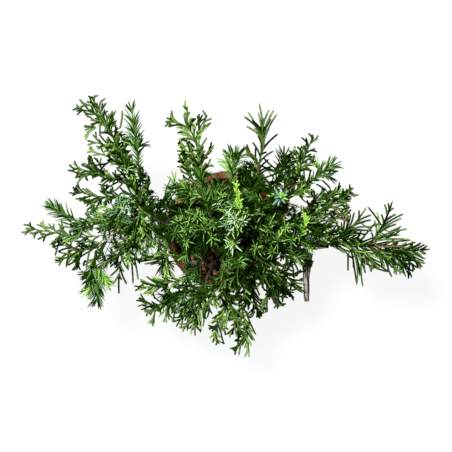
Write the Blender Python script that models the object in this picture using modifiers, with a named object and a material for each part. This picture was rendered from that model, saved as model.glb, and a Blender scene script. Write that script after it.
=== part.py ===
"""A Chinese juniper that grows in a round terracotta flowerpot.

Run it with blender --background --python part.py, or from Blender's text editor. It works in metres with
+Z up. The origin is the centre of the pot's flat underside. Seen from straight above, +X is to the right
and +Y to the back, away from the viewer.
"""

import math
from collections import namedtuple

import bmesh
import bpy
from mathutils import Vector, noise

MM = 0.001

# The gap that every solid keeps to its neighbours.
CLEARANCE = 0.35 * MM

# The pot: a thrown flowerpot with a collar round its rim and a flat underside.
POT_DIAMETER = 126 * MM
POT_HEIGHT = 110 * MM
POT_FOOT_DIAMETER = 86 * MM
RIM_WIDTH = 7.2 * MM
COLLAR_HEIGHT = 26 * MM
COLLAR_STEP = 5 * MM
COLLAR_DRAFT = 0.8 * MM
POT_FLOOR = 9 * MM
POT_BORE_AT_FLOOR = 74 * MM
POT_EDGE = 1.5 * MM
POT_FLOOR_CORNER = 3 * MM
POT_STEPS = 32
DRAIN_HOLES = 3
DRAIN_DIAMETER = 10 * MM
DRAIN_CIRCLE = 44 * MM
DRAIN_START_ANGLE = math.radians(30)
DRAIN_SIDES = 8

# The soil: granules that fill the pot and rise a little towards the trunk.
SOIL_AT_WALL = 99 * MM
SOIL_AT_TRUNK = 103 * MM
SOIL_MOUND_DIAMETER = 48 * MM

# The trunk: an upright with two bends, cut flat at the soil. Its middle goes through these points, given as
# (right, back, height) in mm.
TRUNK_FOOT = (3, -3)
TRUNK_BENDS = (
    (4, -3, 112),
    (9, -3, 128),
    (20, -1, 148),
    (29, 2, 170),
    (31, 5, 190),
    (26, 8, 212),
    (17, 9, 236),
    (11, 8, 262),
    (11, 7, 288),
)
TRUNK_RADIUS = 9.5 * MM
TRUNK_TIP_RADIUS = 2.2 * MM
TRUNK_TAPER = 0.75
TRUNK_SIDES = 10
TRUNK_STEPS_PER_BEND = 2
TRUNK_FOOT_CUT = 2 * MM
FLARE_HEIGHT = 18 * MM
FLARE_WIDTH = 6.5 * MM
FLARE_ROOTS = 5
FLARE_BETWEEN_ROOTS = 0.35

# The boughs. Each leaves the trunk's middle at a height and runs to its tip as (right, back, height). A bow
# pushes its middle to the left of its way out and a lift pushes it up. Radii are at the trunk and the tip.
# All are in mm.
Bough = namedtuple("Bough", "height tip bow lift radii")
BOUGHS = {
    "bough_left": Bough(176, (-82, 22, 203), 11, 2, (5.6, 3.6)),
    "bough_back_left": Bough(212, (-26, 50, 227), 3, 2, (3.4, 2.3)),
    "bough_back": Bough(203, (31, 50, 222), 2, 2, (3.0, 2.0)),
    "bough_back_right": Bough(192, (62, 38, 206), -3, 2, (3.3, 2.2)),
    "bough_right": Bough(166, (106, -15, 176), -3, -3, (4.2, 2.6)),
    "bough_front_right": Bough(158, (48, -32, 160), -3, 2, (3.2, 2.2)),
    "bough_front": Bough(154, (13, -54, 160), 3, 2, (3.2, 2.2)),
    "bough_front_left": Bough(146, (-20, -50, 156), -3, 2, (3.4, 2.3)),
}
LIMB_SIDES = 8
LIMB_STEPS = 6

# The bare dead limb, bleached and broken off short. It bends towards the front, so it is two pieces.
DeadLimb = namedtuple("DeadLimb", "start tip bow lift radii")
DEAD_LIMB = {
    "dead_limb_inner": DeadLimb((25, -1, 152), (86, -23, 158), -4, 3, (4.6, 4.0)),
    "dead_limb_outer": DeadLimb((87, -24, 158), (84, -73, 148), -2, 1, (3.9, 3.0)),
}

# The masses of foliage. Each is a long uneven body from its root to its tip, both as (right, back, height)
# in mm. A bow pushes its middle to the left of its way out. The spread is its half-width at the root, the
# middle and the tip, and the depth is its half-height as a share of that.
Mass = namedtuple("Mass", "root tip bow spread depth")
CROWN_MASSES = {
    "foliage_crown_top": Mass((12, 7, 244), (12, 9, 317), 0, (15, 21, 9), 0.95),
    "foliage_crown_left": Mass((10, 8, 254), (-44, 7, 268), -4, (10, 15, 12), 0.75),
    "foliage_crown_back": Mass((10, 10, 252), (-6, 50, 264), 5, (10, 18, 15), 0.7),
    "foliage_crown_front": Mass((11, 6, 252), (10, -38, 262), 0, (9, 15, 12), 0.75),
    "foliage_crown_right": Mass((18, 8, 238), (58, 34, 256), 6, (8, 14, 12), 0.75),
    "foliage_inner_left": Mass((15, 8, 230), (-44, -17, 234), 4, (8, 14, 10), 0.75),
    "foliage_inner_right": Mass((28, 6, 206), (62, -22, 208), 3, (8, 14, 12), 0.75),
    "foliage_inner_front": Mass((27, 4, 204), (28, -50, 200), -3, (8, 17, 13), 0.7),
    "foliage_inner_back": Mass((-10, 32, 236), (-44, 43, 242), -4, (10, 12, 9), 0.7),
}
LEFT_MASSES = {
    "foliage_left_back_shoot": Mass((-88, 20, 206), (-92, 124, 240), 2, (13, 9, 9), 0.8),
    "foliage_left_back_leader": Mass((-96, 44, 216), (-130, 131, 250), 3, (12, 20, 14), 0.5),
    "foliage_left_back_fan": Mass((-96, 48, 212), (-152, 62, 218), 2, (9, 13, 10), 0.5),
    "foliage_left_upper_fan": Mass((-94, 32, 206), (-152, 32, 206), 0, (10, 14, 10), 0.5),
    "foliage_left_heart": Mass((-68, 20, 200), (-137, 6, 198), 2, (12, 21, 16), 0.5),
    "foliage_left_tuft": Mass((-131, 4, 202), (-178, 30, 214), -2, (8, 10, 10), 0.7),
    "foliage_left_leader": Mass((-126, -4, 200), (-202, 0, 206), 3, (9, 11, 7), 0.6),
    "foliage_left_lower_fan": Mass((-120, -9, 196), (-164, -34, 192), -2, (9, 14, 10), 0.6),
    "foliage_left_front_leader": Mass((-118, -4, 196), (-131, -79, 184), -4, (13, 16, 11), 0.6),
    "foliage_left_front_tuft": Mass((-98, -6, 196), (-106, -64, 184), 0, (12, 12, 7), 0.6),
    "foliage_bough_back": Mass((-84, 22, 207), (-18, 24, 206), 0, (13, 12, 9), 0.6),
    "foliage_bough_sprig": Mass((-60, 28, 208), (-54, 55, 220), 0, (6, 7, 5), 0.8),
    "foliage_bough_front": Mass((-92, -6, 196), (-20, -6, 194), -2, (13, 15, 10), 0.6),
    "foliage_bough_hanging": Mass((-62, -8, 192), (-54, -48, 178), -2, (6, 8, 6), 0.7),
}
BACK_MASSES = {
    "foliage_back_left_leader": Mass((-22, 40, 226), (-36, 127, 256), 2, (14, 20, 15), 0.5),
    "foliage_back_tuft": Mass((1, 26, 244), (9, 88, 254), 0, (8, 12, 12), 0.6),
    "foliage_back_shoot": Mass((31, 46, 222), (37, 94, 240), 3, (8, 12, 6), 0.7),
    "foliage_back_tip": Mass((36, 90, 240), (36, 125, 254), 0, (6, 16, 12), 0.5),
    "foliage_back_right_tuft": Mass((52, 36, 210), (60, 86, 228), 2, (9, 15, 11), 0.6),
    "foliage_back_right_leader": Mass((64, 36, 206), (87, 97, 232), 2, (9, 11, 5), 0.6),
    "foliage_right_back_tuft": Mass((76, 40, 202), (114, 71, 214), 2, (9, 12, 9), 0.6),
}
RIGHT_MASSES = {
    "foliage_right_heart": Mass((58, 10, 186), (118, 0, 180), 2, (13, 19, 12), 0.6),
    "foliage_right_back_fan": Mass((84, 30, 190), (132, 38, 196), 0, (10, 12, 8), 0.6),
    "foliage_right_upper_fan": Mass((116, -8, 176), (146, 22, 184), -3, (8, 12, 10), 0.6),
    "foliage_right_leader": Mass((100, -14, 174), (166, -17, 178), -1, (7, 9, 9), 0.6),
    "foliage_right_lower_fan": Mass((122, -18, 172), (138, -58, 162), 3, (8, 14, 10), 0.6),
    "foliage_right_out_tuft": Mass((154, -12, 178), (171, 30, 190), 0, (8, 14, 12), 0.6),
    "foliage_right_tip": Mass((146, -24, 178), (206, -26, 182), 0, (11, 17, 10), 0.5),
}
FRONT_MASSES = {
    "foliage_front_right_fan": Mass((46, -28, 162), (80, -60, 156), 2, (12, 14, 9), 0.5),
    "foliage_front_right_tuft": Mass((36, -40, 160), (58, -80, 152), 2, (8, 11, 9), 0.6),
    "foliage_front_fan": Mass((22, -50, 160), (36, -90, 152), 0, (8, 11, 9), 0.6),
    "foliage_front_leader": Mass((12, -50, 162), (24, -129, 162), -4, (10, 15, 8), 0.6),
    "foliage_front_left_fan": Mass((4, -64, 158), (-13, -114, 152), 2, (8, 13, 9), 0.6),
    "foliage_front_left_leader": Mass((-18, -46, 158), (-33, -106, 148), 0, (9, 16, 11), 0.5),
    "foliage_front_far_fan": Mass((-34, -56, 154), (-84, -86, 144), 4, (8, 15, 10), 0.6),
    "foliage_front_far_tuft": Mass((-34, -48, 160), (-92, -62, 152), -2, (8, 14, 10), 0.6),
}
MASSES = {**CROWN_MASSES, **LEFT_MASSES, **BACK_MASSES, **RIGHT_MASSES, **FRONT_MASSES}
MASS_SIDES = 8
MASS_RINGS = 7
MASS_BLUNTNESS = 4
MASS_UNEVENNESS = 0.44
MASS_LUMP_SIZE = 14 * MM
MASS_FLAT_BELOW = 0.75
NOISE_STEP_PER_MASS = 7.3

# Colours as linear RGB, with roughness.
FINISHES = {
    "terracotta": ((0.376, 0.108, 0.041), 0.85),
    "soil": ((0.262, 0.120, 0.052), 0.95),
    "bark": ((0.095, 0.060, 0.042), 0.90),
    "deadwood": ((0.400, 0.365, 0.320), 0.80),
    "foliage": ((0.051, 0.162, 0.022), 0.60),
}
SMOOTH_UP_TO = math.radians(40)

# Points nearer than this are one point, and a direction shorter than this has none.
WELD = 0.01 * MM
UP = Vector((0, 0, 1))


def clear_scene():
    for obj in list(bpy.data.objects):
        bpy.data.objects.remove(obj)


def new_collection(name):
    collection = bpy.data.collections.new(name)
    bpy.context.scene.collection.children.link(collection)
    return collection


def material(name):
    """A plain Principled material of one of the finishes."""
    found = bpy.data.materials.get(name)
    if found:
        return found
    colour, roughness = FINISHES[name]
    made = bpy.data.materials.new(name)
    made.use_nodes = True
    shader = made.node_tree.nodes["Principled BSDF"]
    shader.inputs["Base Color"].default_value = (*colour, 1)
    shader.inputs["Roughness"].default_value = roughness
    shader.inputs["Metallic"].default_value = 0
    return made


def mesh_of(name, bm):
    """New mesh data from a bmesh, which is freed."""
    mesh = bpy.data.meshes.new(name)
    bm.to_mesh(mesh)
    bm.free()
    return mesh


def add_object(name, mesh, collection, finish=None):
    obj = bpy.data.objects.new(name, mesh)
    collection.objects.link(obj)
    if finish:
        mesh.materials.clear()
        mesh.materials.append(material(finish))
    return obj


def add_cutter(name, mesh, cutters):
    """A helper that shapes other objects and isn't part of the tree."""
    obj = add_object("cutter_" + name, mesh, cutters)
    obj.hide_render = True
    obj.display_type = "WIRE"
    return obj


def evaluated_mesh(obj):
    """The object's mesh with its modifiers applied, as new mesh data."""
    graph = bpy.context.evaluated_depsgraph_get()
    return bpy.data.meshes.new_from_object(obj.evaluated_get(graph))


def add_cut(obj, cutter):
    cut = obj.modifiers.new(cutter.name, "BOOLEAN")
    cut.operation = "DIFFERENCE"
    cut.solver = "EXACT"
    cut.object = cutter


def connected_points(bm):
    """The points of the bmesh in sets, one for each separate body, the largest last."""
    left = set(bm.verts)
    bodies = []
    while left:
        body = set()
        edge = [left.pop()]
        while edge:
            point = edge.pop()
            body.add(point)
            near = {link.other_vert(point) for link in point.link_edges} & left
            left -= near
            edge.extend(near)
        bodies.append(body)
    return sorted(bodies, key=len)


def keep_largest_body(mesh):
    """Removes what a cut has parted from the main body."""
    bm = bmesh.new()
    bm.from_mesh(mesh)
    for body in connected_points(bm)[:-1]:
        bmesh.ops.delete(bm, geom=list(body), context="VERTS")
    bm.to_mesh(mesh)
    bm.free()


def grown(mesh, by):
    """A copy of the mesh with every face moved out along its normal."""
    bm = bmesh.new()
    bm.from_mesh(mesh)
    bm.normal_update()
    moves = [point.normal * by * point.calc_shell_factor() for point in bm.verts]
    for point, move in zip(bm.verts, moves):
        point.co += move
    return mesh_of(mesh.name + "_grown", bm)


def box_of(obj):
    """The lowest and highest corner of the object's box."""
    points = [obj.matrix_world @ point.co for point in obj.data.vertices]
    lowest = [min(point[axis] for point in points) for axis in range(3)]
    highest = [max(point[axis] for point in points) for axis in range(3)]
    return lowest, highest


def boxes_meet(first, second):
    return all(first[0][axis] < second[1][axis] and second[0][axis] < first[1][axis] for axis in range(3))


def carve(obj, cutters):
    """Cuts from the object each cutter that reaches it, and keeps the main body."""
    own_box = box_of(obj)
    reaching = [cutter for cutter in cutters if boxes_meet(own_box, box_of(cutter))]
    for cutter in reaching:
        add_cut(obj, cutter)
    if reaching:
        carved = evaluated_mesh(obj)
        obj.modifiers.clear()
        obj.data = carved
        keep_largest_body(carved)


def turned(name, profile, collection, finish):
    """A shape turned about the Z axis from (radius, height) points."""
    mesh = bpy.data.meshes.new(name)
    edges = [(index, index + 1) for index in range(len(profile) - 1)]
    mesh.from_pydata([(radius, 0, height) for radius, height in profile], edges, [])
    obj = add_object(name, mesh, collection, finish)
    screw = obj.modifiers.new("turn", "SCREW")
    screw.steps = POT_STEPS
    screw.render_steps = POT_STEPS
    screw.use_merge_vertices = True
    screw.merge_threshold = WELD
    return obj


def bore_radius(height):
    """The radius of the pot's tapering inside at a height."""
    low = POT_BORE_AT_FLOOR / 2
    high = POT_DIAMETER / 2 - RIM_WIDTH
    return low + (high - low) * (height - POT_FLOOR) / (POT_HEIGHT - POT_FLOOR)


def drain_mesh():
    bm = bmesh.new()
    radius = DRAIN_DIAMETER / 2
    length = 3 * POT_FLOOR
    bmesh.ops.create_cone(
        bm, cap_ends=True, segments=DRAIN_SIDES, radius1=radius, radius2=radius, depth=length
    )
    return mesh_of("drain", bm)


def make_pot(collection, cutters):
    outer = POT_DIAMETER / 2
    foot = POT_FOOT_DIAMETER / 2
    collar_foot = POT_HEIGHT - COLLAR_HEIGHT
    corner = POT_FLOOR + POT_FLOOR_CORNER
    profile = [
        (0, POT_FLOOR),
        (bore_radius(corner) - POT_FLOOR_CORNER, POT_FLOOR),
        (bore_radius(corner), corner),
        (bore_radius(POT_HEIGHT - POT_EDGE), POT_HEIGHT - POT_EDGE),
        (outer - RIM_WIDTH + POT_EDGE, POT_HEIGHT),
        (outer - POT_EDGE, POT_HEIGHT),
        (outer, POT_HEIGHT - POT_EDGE),
        (outer - COLLAR_DRAFT, collar_foot + POT_EDGE),
        (outer - COLLAR_DRAFT - POT_EDGE, collar_foot),
        (outer - COLLAR_STEP, collar_foot),
        (foot, POT_EDGE),
        (foot - POT_EDGE, 0),
        (0, 0),
    ]
    pot = turned("pot", profile, collection, "terracotta")
    for index in range(DRAIN_HOLES):
        angle = DRAIN_START_ANGLE + 2 * math.pi * index / DRAIN_HOLES
        out = Vector((math.cos(angle), math.sin(angle), 0)) * DRAIN_CIRCLE / 2
        drain = add_cutter(f"drain_{index + 1}", drain_mesh(), cutters)
        drain.location = out + UP * POT_FLOOR / 2
        add_cut(pot, drain)


def make_soil(collection):
    corner = POT_FLOOR + POT_FLOOR_CORNER
    profile = [
        (0, SOIL_AT_TRUNK),
        (SOIL_MOUND_DIAMETER / 2, SOIL_AT_TRUNK),
        (bore_radius(SOIL_AT_WALL) - CLEARANCE, SOIL_AT_WALL),
        (bore_radius(corner) - CLEARANCE, corner),
        (bore_radius(corner) - POT_FLOOR_CORNER - CLEARANCE, POT_FLOOR + CLEARANCE),
        (0, POT_FLOOR + CLEARANCE),
    ]
    turned("soil", profile, collection, "soil")


def smooth_path(points, steps):
    """Points on a smooth curve through the given ones, with so many steps between two of them."""
    path = []
    for index in range(len(points) - 1):
        before = points[max(index - 1, 0)]
        start = points[index]
        end = points[index + 1]
        after = points[min(index + 2, len(points) - 1)]
        slope = (end - before) / 2
        curve = before - 2.5 * start + 2 * end - after / 2
        twist = (3 * start - before - 3 * end + after) / 2
        for step in range(steps):
            t = step / steps
            path.append(start + slope * t + curve * t**2 + twist * t**3)
    return path + [points[-1].copy()]


def bowed_path(start, end, bow, lift, steps):
    """Points from start to end, on a curve whose middle is pushed to the left of its way and up."""
    way = end - start
    left = UP.cross(way)
    push = UP * lift
    if left.length > WELD:
        push += left.normalized() * bow
    shares = [step / steps for step in range(steps + 1)]
    return [start + way * t + push * 4 * t * (1 - t) for t in shares]


def tube_mesh(name, path, radii, sides):
    """A tapering round tube along the path, as a closed mesh made from a bevelled curve."""
    curve = bpy.data.curves.new(name, "CURVE")
    curve.dimensions = "3D"
    curve.bevel_depth = 1
    curve.bevel_resolution = (sides - 4) // 2
    curve.use_fill_caps = True
    spline = curve.splines.new("POLY")
    spline.points.add(len(path) - 1)
    for point, place, radius in zip(spline.points, path, radii):
        point.co = (*place, 1)
        point.radius = radius
    holder = bpy.data.objects.new(name + "_curve", curve)
    bpy.context.scene.collection.objects.link(holder)
    bpy.context.view_layer.update()
    bm = bmesh.new()
    bm.from_mesh(evaluated_mesh(holder))
    bm.transform(holder.matrix_world)
    bpy.data.objects.remove(holder)
    bmesh.ops.remove_doubles(bm, verts=bm.verts, dist=WELD)
    bmesh.ops.recalc_face_normals(bm, faces=bm.faces)
    bmesh.ops.triangulate(bm, faces=bm.faces)
    return mesh_of(name, bm)


def trunk_path():
    foot = Vector((*TRUNK_FOOT, 0)) * MM + UP * (SOIL_AT_TRUNK + CLEARANCE)
    bends = [Vector(bend) * MM for bend in TRUNK_BENDS]
    return smooth_path([foot] + bends, TRUNK_STEPS_PER_BEND)


def trunk_axis(height):
    """The middle of the trunk at a height."""
    path = trunk_path()
    for low, high in zip(path, path[1:]):
        if low.z <= height <= high.z:
            return low.lerp(high, (height - low.z) / (high.z - low.z))
    return path[-1]


def spread_foot(mesh, foot):
    """Cuts the trunk's foot level and draws it out into surface roots."""
    for point in mesh.vertices:
        if point.co.z < foot.z + TRUNK_FOOT_CUT:
            point.co.z = foot.z
        height = point.co.z - foot.z
        away = point.co - trunk_axis(point.co.z)
        away.z = 0
        if height > FLARE_HEIGHT or away.length < WELD:
            continue
        angle = math.atan2(away.y, away.x)
        at_root = (1 + math.cos(FLARE_ROOTS * angle)) / 2
        share = FLARE_BETWEEN_ROOTS + (1 - FLARE_BETWEEN_ROOTS) * at_root
        point.co += away.normalized() * FLARE_WIDTH * share * (1 - height / FLARE_HEIGHT) ** 2


def make_trunk(collection):
    path = trunk_path()
    last = len(path) - 1
    growth = TRUNK_RADIUS - TRUNK_TIP_RADIUS
    radii = [TRUNK_TIP_RADIUS + growth * (1 - index / last) ** TRUNK_TAPER for index in range(last + 1)]
    mesh = tube_mesh("trunk", path, radii, TRUNK_SIDES)
    spread_foot(mesh, path[0])
    return add_object("trunk", mesh, collection, "bark")


def limb_mesh(name, start, sizes):
    """One tapering limb from its start to its tip."""
    path = bowed_path(start, Vector(sizes.tip) * MM, sizes.bow * MM, sizes.lift * MM, LIMB_STEPS)
    thick, thin = sizes.radii
    shares = [step / LIMB_STEPS for step in range(LIMB_STEPS + 1)]
    radii = [(thick + (thin - thick) * share) * MM for share in shares]
    return tube_mesh(name, path, radii, LIMB_SIDES)


def half_width(spread, t):
    """The half-width of a mass at a share t of its length, rounded off at both ends."""
    at_root, at_middle, at_tip = spread
    width = at_root * (1 - t) * (1 - 2 * t) + at_middle * 4 * t * (1 - t) + at_tip * t * (2 * t - 1)
    return width * math.sqrt(max(0, 1 - abs(2 * t - 1) ** MASS_BLUNTNESS))


def mass_mesh(name, sizes, seed):
    """An uneven body round a bowed line: a sphere whose poles go to the line's two ends."""
    line = bowed_path(Vector(sizes.root) * MM, Vector(sizes.tip) * MM, sizes.bow * MM, 0, MASS_RINGS)
    bm = bmesh.new()
    bmesh.ops.create_uvsphere(bm, u_segments=MASS_SIDES, v_segments=MASS_RINGS, radius=1)
    for point in bm.verts:
        from_tip = math.acos(max(-1, min(1, point.co.z))) / math.pi
        ring = round((1 - from_tip) * MASS_RINGS)
        ahead = line[min(ring + 1, MASS_RINGS)] - line[max(ring - 1, 0)]
        side = UP.cross(ahead)
        side = side.normalized() if side.length > ahead.length / 3 else Vector((-1, 0, 0))
        upward = ahead.cross(side).normalized()
        width = half_width(sizes.spread, ring / MASS_RINGS) * MM
        around = math.atan2(point.co.y, point.co.x)
        rise = math.sin(around) * sizes.depth
        if rise < 0:
            rise *= MASS_FLAT_BELOW
        out = (side * math.cos(around) + upward * rise) * width
        lump = noise.noise((line[ring] + out) / MASS_LUMP_SIZE + Vector((seed, 0, 0)))
        point.co = line[ring] + out * (1 + MASS_UNEVENNESS * lump)
    bmesh.ops.triangulate(bm, faces=bm.faces)
    return mesh_of(name, bm)


def add_carved(name, mesh, finish, collection, cutters, placed):
    """Adds a solid cut to all that is placed before it, and its grown shape to what is placed."""
    whole = grown(mesh, CLEARANCE)
    solid = add_object(name, mesh, collection, finish)
    carve(solid, placed)
    placed.append(add_cutter(name, whole, cutters))


def make_tree(collection, cutters):
    """The trunk first, then the limbs cut to it, then the masses cut to all that came before them."""
    trunk = make_trunk(collection)
    placed = [add_cutter("trunk", grown(trunk.data, CLEARANCE), cutters)]
    for name, sizes in BOUGHS.items():
        mesh = limb_mesh(name, trunk_axis(sizes.height * MM), sizes)
        add_carved(name, mesh, "bark", collection, cutters, placed)
    for name, sizes in DEAD_LIMB.items():
        mesh = limb_mesh(name, Vector(sizes.start) * MM, sizes)
        add_carved(name, mesh, "deadwood", collection, cutters, placed)
    for index, (name, sizes) in enumerate(MASSES.items()):
        mesh = mass_mesh(name, sizes, index * NOISE_STEP_PER_MASS)
        add_carved(name, mesh, "foliage", collection, cutters, placed)


def shade_round_pieces(collection):
    for obj in collection.objects:
        obj.data.shade_smooth()
        obj.data.set_sharp_from_angle(angle=SMOOTH_UP_TO)


def main():
    clear_scene()
    juniper = new_collection("chinese_juniper")
    cutters = new_collection("cutters")
    make_pot(juniper, cutters)
    make_soil(juniper)
    make_tree(juniper, cutters)
    shade_round_pieces(juniper)


main()
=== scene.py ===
import math

import bmesh
import bpy
import numpy as np
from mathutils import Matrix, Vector, noise
from mathutils.bvhtree import BVHTree


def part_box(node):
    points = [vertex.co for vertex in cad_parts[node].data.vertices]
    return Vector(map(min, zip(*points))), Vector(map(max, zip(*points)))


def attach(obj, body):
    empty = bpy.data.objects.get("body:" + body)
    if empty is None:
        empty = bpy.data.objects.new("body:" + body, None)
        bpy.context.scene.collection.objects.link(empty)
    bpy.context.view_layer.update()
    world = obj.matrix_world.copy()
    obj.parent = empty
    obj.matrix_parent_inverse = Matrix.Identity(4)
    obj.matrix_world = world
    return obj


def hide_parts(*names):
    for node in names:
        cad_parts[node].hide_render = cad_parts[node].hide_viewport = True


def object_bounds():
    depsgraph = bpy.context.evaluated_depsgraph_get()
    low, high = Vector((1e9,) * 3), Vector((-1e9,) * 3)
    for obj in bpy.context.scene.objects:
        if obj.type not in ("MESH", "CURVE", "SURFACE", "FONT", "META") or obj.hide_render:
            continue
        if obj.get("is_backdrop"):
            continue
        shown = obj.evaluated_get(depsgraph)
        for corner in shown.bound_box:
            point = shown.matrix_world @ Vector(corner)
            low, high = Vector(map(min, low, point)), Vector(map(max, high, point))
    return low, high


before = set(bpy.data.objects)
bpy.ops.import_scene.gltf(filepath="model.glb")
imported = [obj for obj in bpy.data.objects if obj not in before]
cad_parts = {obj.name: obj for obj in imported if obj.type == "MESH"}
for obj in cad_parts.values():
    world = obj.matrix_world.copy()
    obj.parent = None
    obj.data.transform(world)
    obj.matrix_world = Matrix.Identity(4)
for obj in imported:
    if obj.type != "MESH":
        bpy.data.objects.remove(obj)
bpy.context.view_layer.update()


# The camera
# The plant is seen from straight above. The camera hangs 1.6 m over the floor, and its view is
# such that a millimetre on the plane 205 mm up, where most leaves are, is one step of the picture.
PICTURE_SIDE = 452
CAMERA_HEIGHT = 1600
CAMERA_RIGHT, CAMERA_BACK = 1.4, 5.0
LEAF_PLANE = 205
SENSOR = 36
PICTURE_REACH = CAMERA_HEIGHT - LEAF_PLANE
MM = 0.001


def add_object(name, data):
    piece = bpy.data.objects.new(name, data)
    bpy.context.scene.collection.objects.link(piece)
    return piece


camera = add_object("camera", bpy.data.cameras.new("camera"))
camera.data.sensor_width = SENSOR
camera.data.lens = SENSOR * PICTURE_REACH / PICTURE_SIDE
camera.location = Vector((CAMERA_RIGHT, CAMERA_BACK, CAMERA_HEIGHT)) * MM
bpy.context.scene.camera = camera


def seen(across, down, height):
    """The point in mm at this height that the camera sees so far from its view's left and top."""
    reach = (CAMERA_HEIGHT - height) / PICTURE_REACH
    half = PICTURE_SIDE / 2
    right = CAMERA_RIGHT + (across - half) * reach
    back = CAMERA_BACK + (half - down) * reach
    return np.array((right, back, height), float)


# The floor
# A wide light table of opal white acrylic, lit from below and from above, so that hardly a
# shadow falls on it.
FLOOR_SIDE = 6000
FLOOR_DROP = 0.3
GLOW_ROUND, GLOW_SEEN = 0.65, 0.9


def colour(code):
    """A six-figure sRGB colour as the linear colour that a shader takes."""
    parts = [int(code[i:i + 2], 16) / 255 for i in (0, 2, 4)]
    return (*[c / 12.92 if c <= 0.04045 else ((c + 0.055) / 1.055) ** 2.4 for c in parts], 1)


def new_material(name):
    material = bpy.data.materials.new(name)
    material.use_nodes = True
    return material


def set_up(material, node, settings):
    """Sets a node's properties and sockets, or joins a socket to another node's output."""
    for key, value in settings.items():
        if isinstance(value, bpy.types.NodeSocket):
            material.node_tree.links.new(value, node.inputs[key])
        elif isinstance(key, str) and hasattr(node, key):
            setattr(node, key, value)
        else:
            node.inputs[key].default_value = value


def add_node(material, kind, settings, output=0):
    """Adds a node and gives one of its outputs."""
    node = material.node_tree.nodes.new("ShaderNode" + kind)
    set_up(material, node, settings)
    return node.outputs[output]


def finish(material, settings):
    set_up(material, material.node_tree.nodes["Principled BSDF"], settings)


def pattern(material, size_mm, detail, **settings):
    """A random pattern whose features are this large, on coordinates in metres."""
    return add_node(material, "TexNoise", {"Scale": 1 / (size_mm * MM), "Detail": detail, **settings})


def ranged(material, source, low, high, to_low=0, to_high=1):
    """A value brought from one range to another and held at its ends."""
    return add_node(material, "MapRange", {0: source, 1: low, 2: high, 3: to_low, 4: to_high})


def mixed(material, share, first, second, way="MIX"):
    """A colour between two, each given as a code or as another node's output."""
    first, second = [colour(part) if isinstance(part, str) else part for part in (first, second)]
    settings = {"data_type": "RGBA", "blend_type": way, 0: share, 6: first, 7: second}
    return add_node(material, "Mix", settings, 2)


def bumped(material, relief, strength, depth_mm):
    return add_node(material, "Bump", {"Strength": strength, "Distance": depth_mm * MM, "Height": relief})


sheet = new_material("opal_white_acrylic")
# Opal acrylic scatters the light: a matt white that glows evenly, with the faintest cloud in it.
by_camera = add_node(sheet, "LightPath", {}, "Is Camera Ray")
finish(sheet, {
    "Base Color": mixed(sheet, pattern(sheet, 40, 3), "505050", "4C4C4C"),
    "Roughness": 0.95,
    "Specular IOR Level": 0.1,
    "Emission Color": colour("FFFFFF"),
    "Emission Strength": ranged(sheet, by_camera, 0, 1, GLOW_ROUND, GLOW_SEEN),
})
floor_mesh = bpy.data.meshes.new("floor")
half_floor = FLOOR_SIDE / 2 * MM
floor_corners = [(-half_floor, -half_floor, 0), (half_floor, -half_floor, 0), (half_floor, half_floor, 0),
                 (-half_floor, half_floor, 0)]
floor_mesh.from_pydata(floor_corners, [], [(0, 1, 2, 3)])
floor_mesh.materials.append(sheet)
floor = add_object("floor", floor_mesh)
floor.location.z = -FLOOR_DROP * MM
floor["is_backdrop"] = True


# The pot
# A round flowerpot of unglazed terracotta, thrown and turned: a tapering wall under a heavy
# collar, with a rounded lip, finger rings, and three drain holes through its floor.
POT_RADIUS = 63
POT_HEIGHT = 110
POT_FOOT_RADIUS = 43
POT_LIP_WIDTH = 7.2
POT_COLLAR_HEIGHT = 26
POT_COLLAR_STEP = 5
POT_COLLAR_DRAFT = 0.8
POT_FLOOR = 9
POT_BORE_AT_FLOOR = 37
POT_BORE_SLOPE = 0.186
POT_STEPS = 160
FOOT_ROUND, COLLAR_ROUND, LIP_ROUND, LIP_INNER_ROUND, FLOOR_ROUND = 1.8, 2.2, 2.6, 2.2, 3
RING_PITCH = 7.5
RING_DEPTH = 0.22
DRAIN_RADIUS = 5
DRAIN_CIRCLE = 22


def add_piece(name, points, faces, material, stands_for=()):
    """Makes a piece from points in mm and faces with one number of corners, in place on the body."""
    faces = np.asarray(faces, np.int32)
    mesh = bpy.data.meshes.new(name)
    mesh.vertices.add(len(points))
    mesh.vertices.foreach_set("co", (np.asarray(points, np.float64) * MM).astype(np.float32).ravel())
    mesh.loops.add(faces.size)
    mesh.loops.foreach_set("vertex_index", faces.ravel())
    mesh.polygons.add(len(faces))
    starts = np.arange(0, faces.size, faces.shape[1], dtype=np.int32)
    mesh.polygons.foreach_set("loop_start", starts)
    mesh.update(calc_edges=True)
    mesh.validate()
    mesh.shade_smooth()
    mesh.materials.append(material)
    piece = add_object(name, mesh)
    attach(piece, "root")
    if stands_for:
        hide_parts(*stands_for)
    return piece


def weld(mesh):
    """Joins the points that lie on one another and turns the faces outward."""
    shape = bmesh.new()
    shape.from_mesh(mesh)
    bmesh.ops.remove_doubles(shape, verts=shape.verts, dist=1e-6)
    bmesh.ops.recalc_face_normals(shape, faces=shape.faces)
    shape.to_mesh(mesh)
    shape.free()


def between(points, spacing):
    """The outline with points added so that none are further apart than the spacing."""
    outline = [points[0]]
    for (r0, z0), (r1, z1) in zip(points, points[1:]):
        count = max(1, math.ceil(math.hypot(r1 - r0, z1 - z0) / spacing))
        outline += [(r0 + (r1 - r0) * i / count, z0 + (z1 - z0) * i / count) for i in range(1, count + 1)]
    return outline


def rounded(middle, radius, start, end, count=6):
    """Points on an arc from one angle to another, in degrees."""
    turns = [math.radians(start + (end - start) * i / count) for i in range(count + 1)]
    return [(middle[0] + radius * math.cos(a), middle[1] + radius * math.sin(a)) for a in turns]


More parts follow.
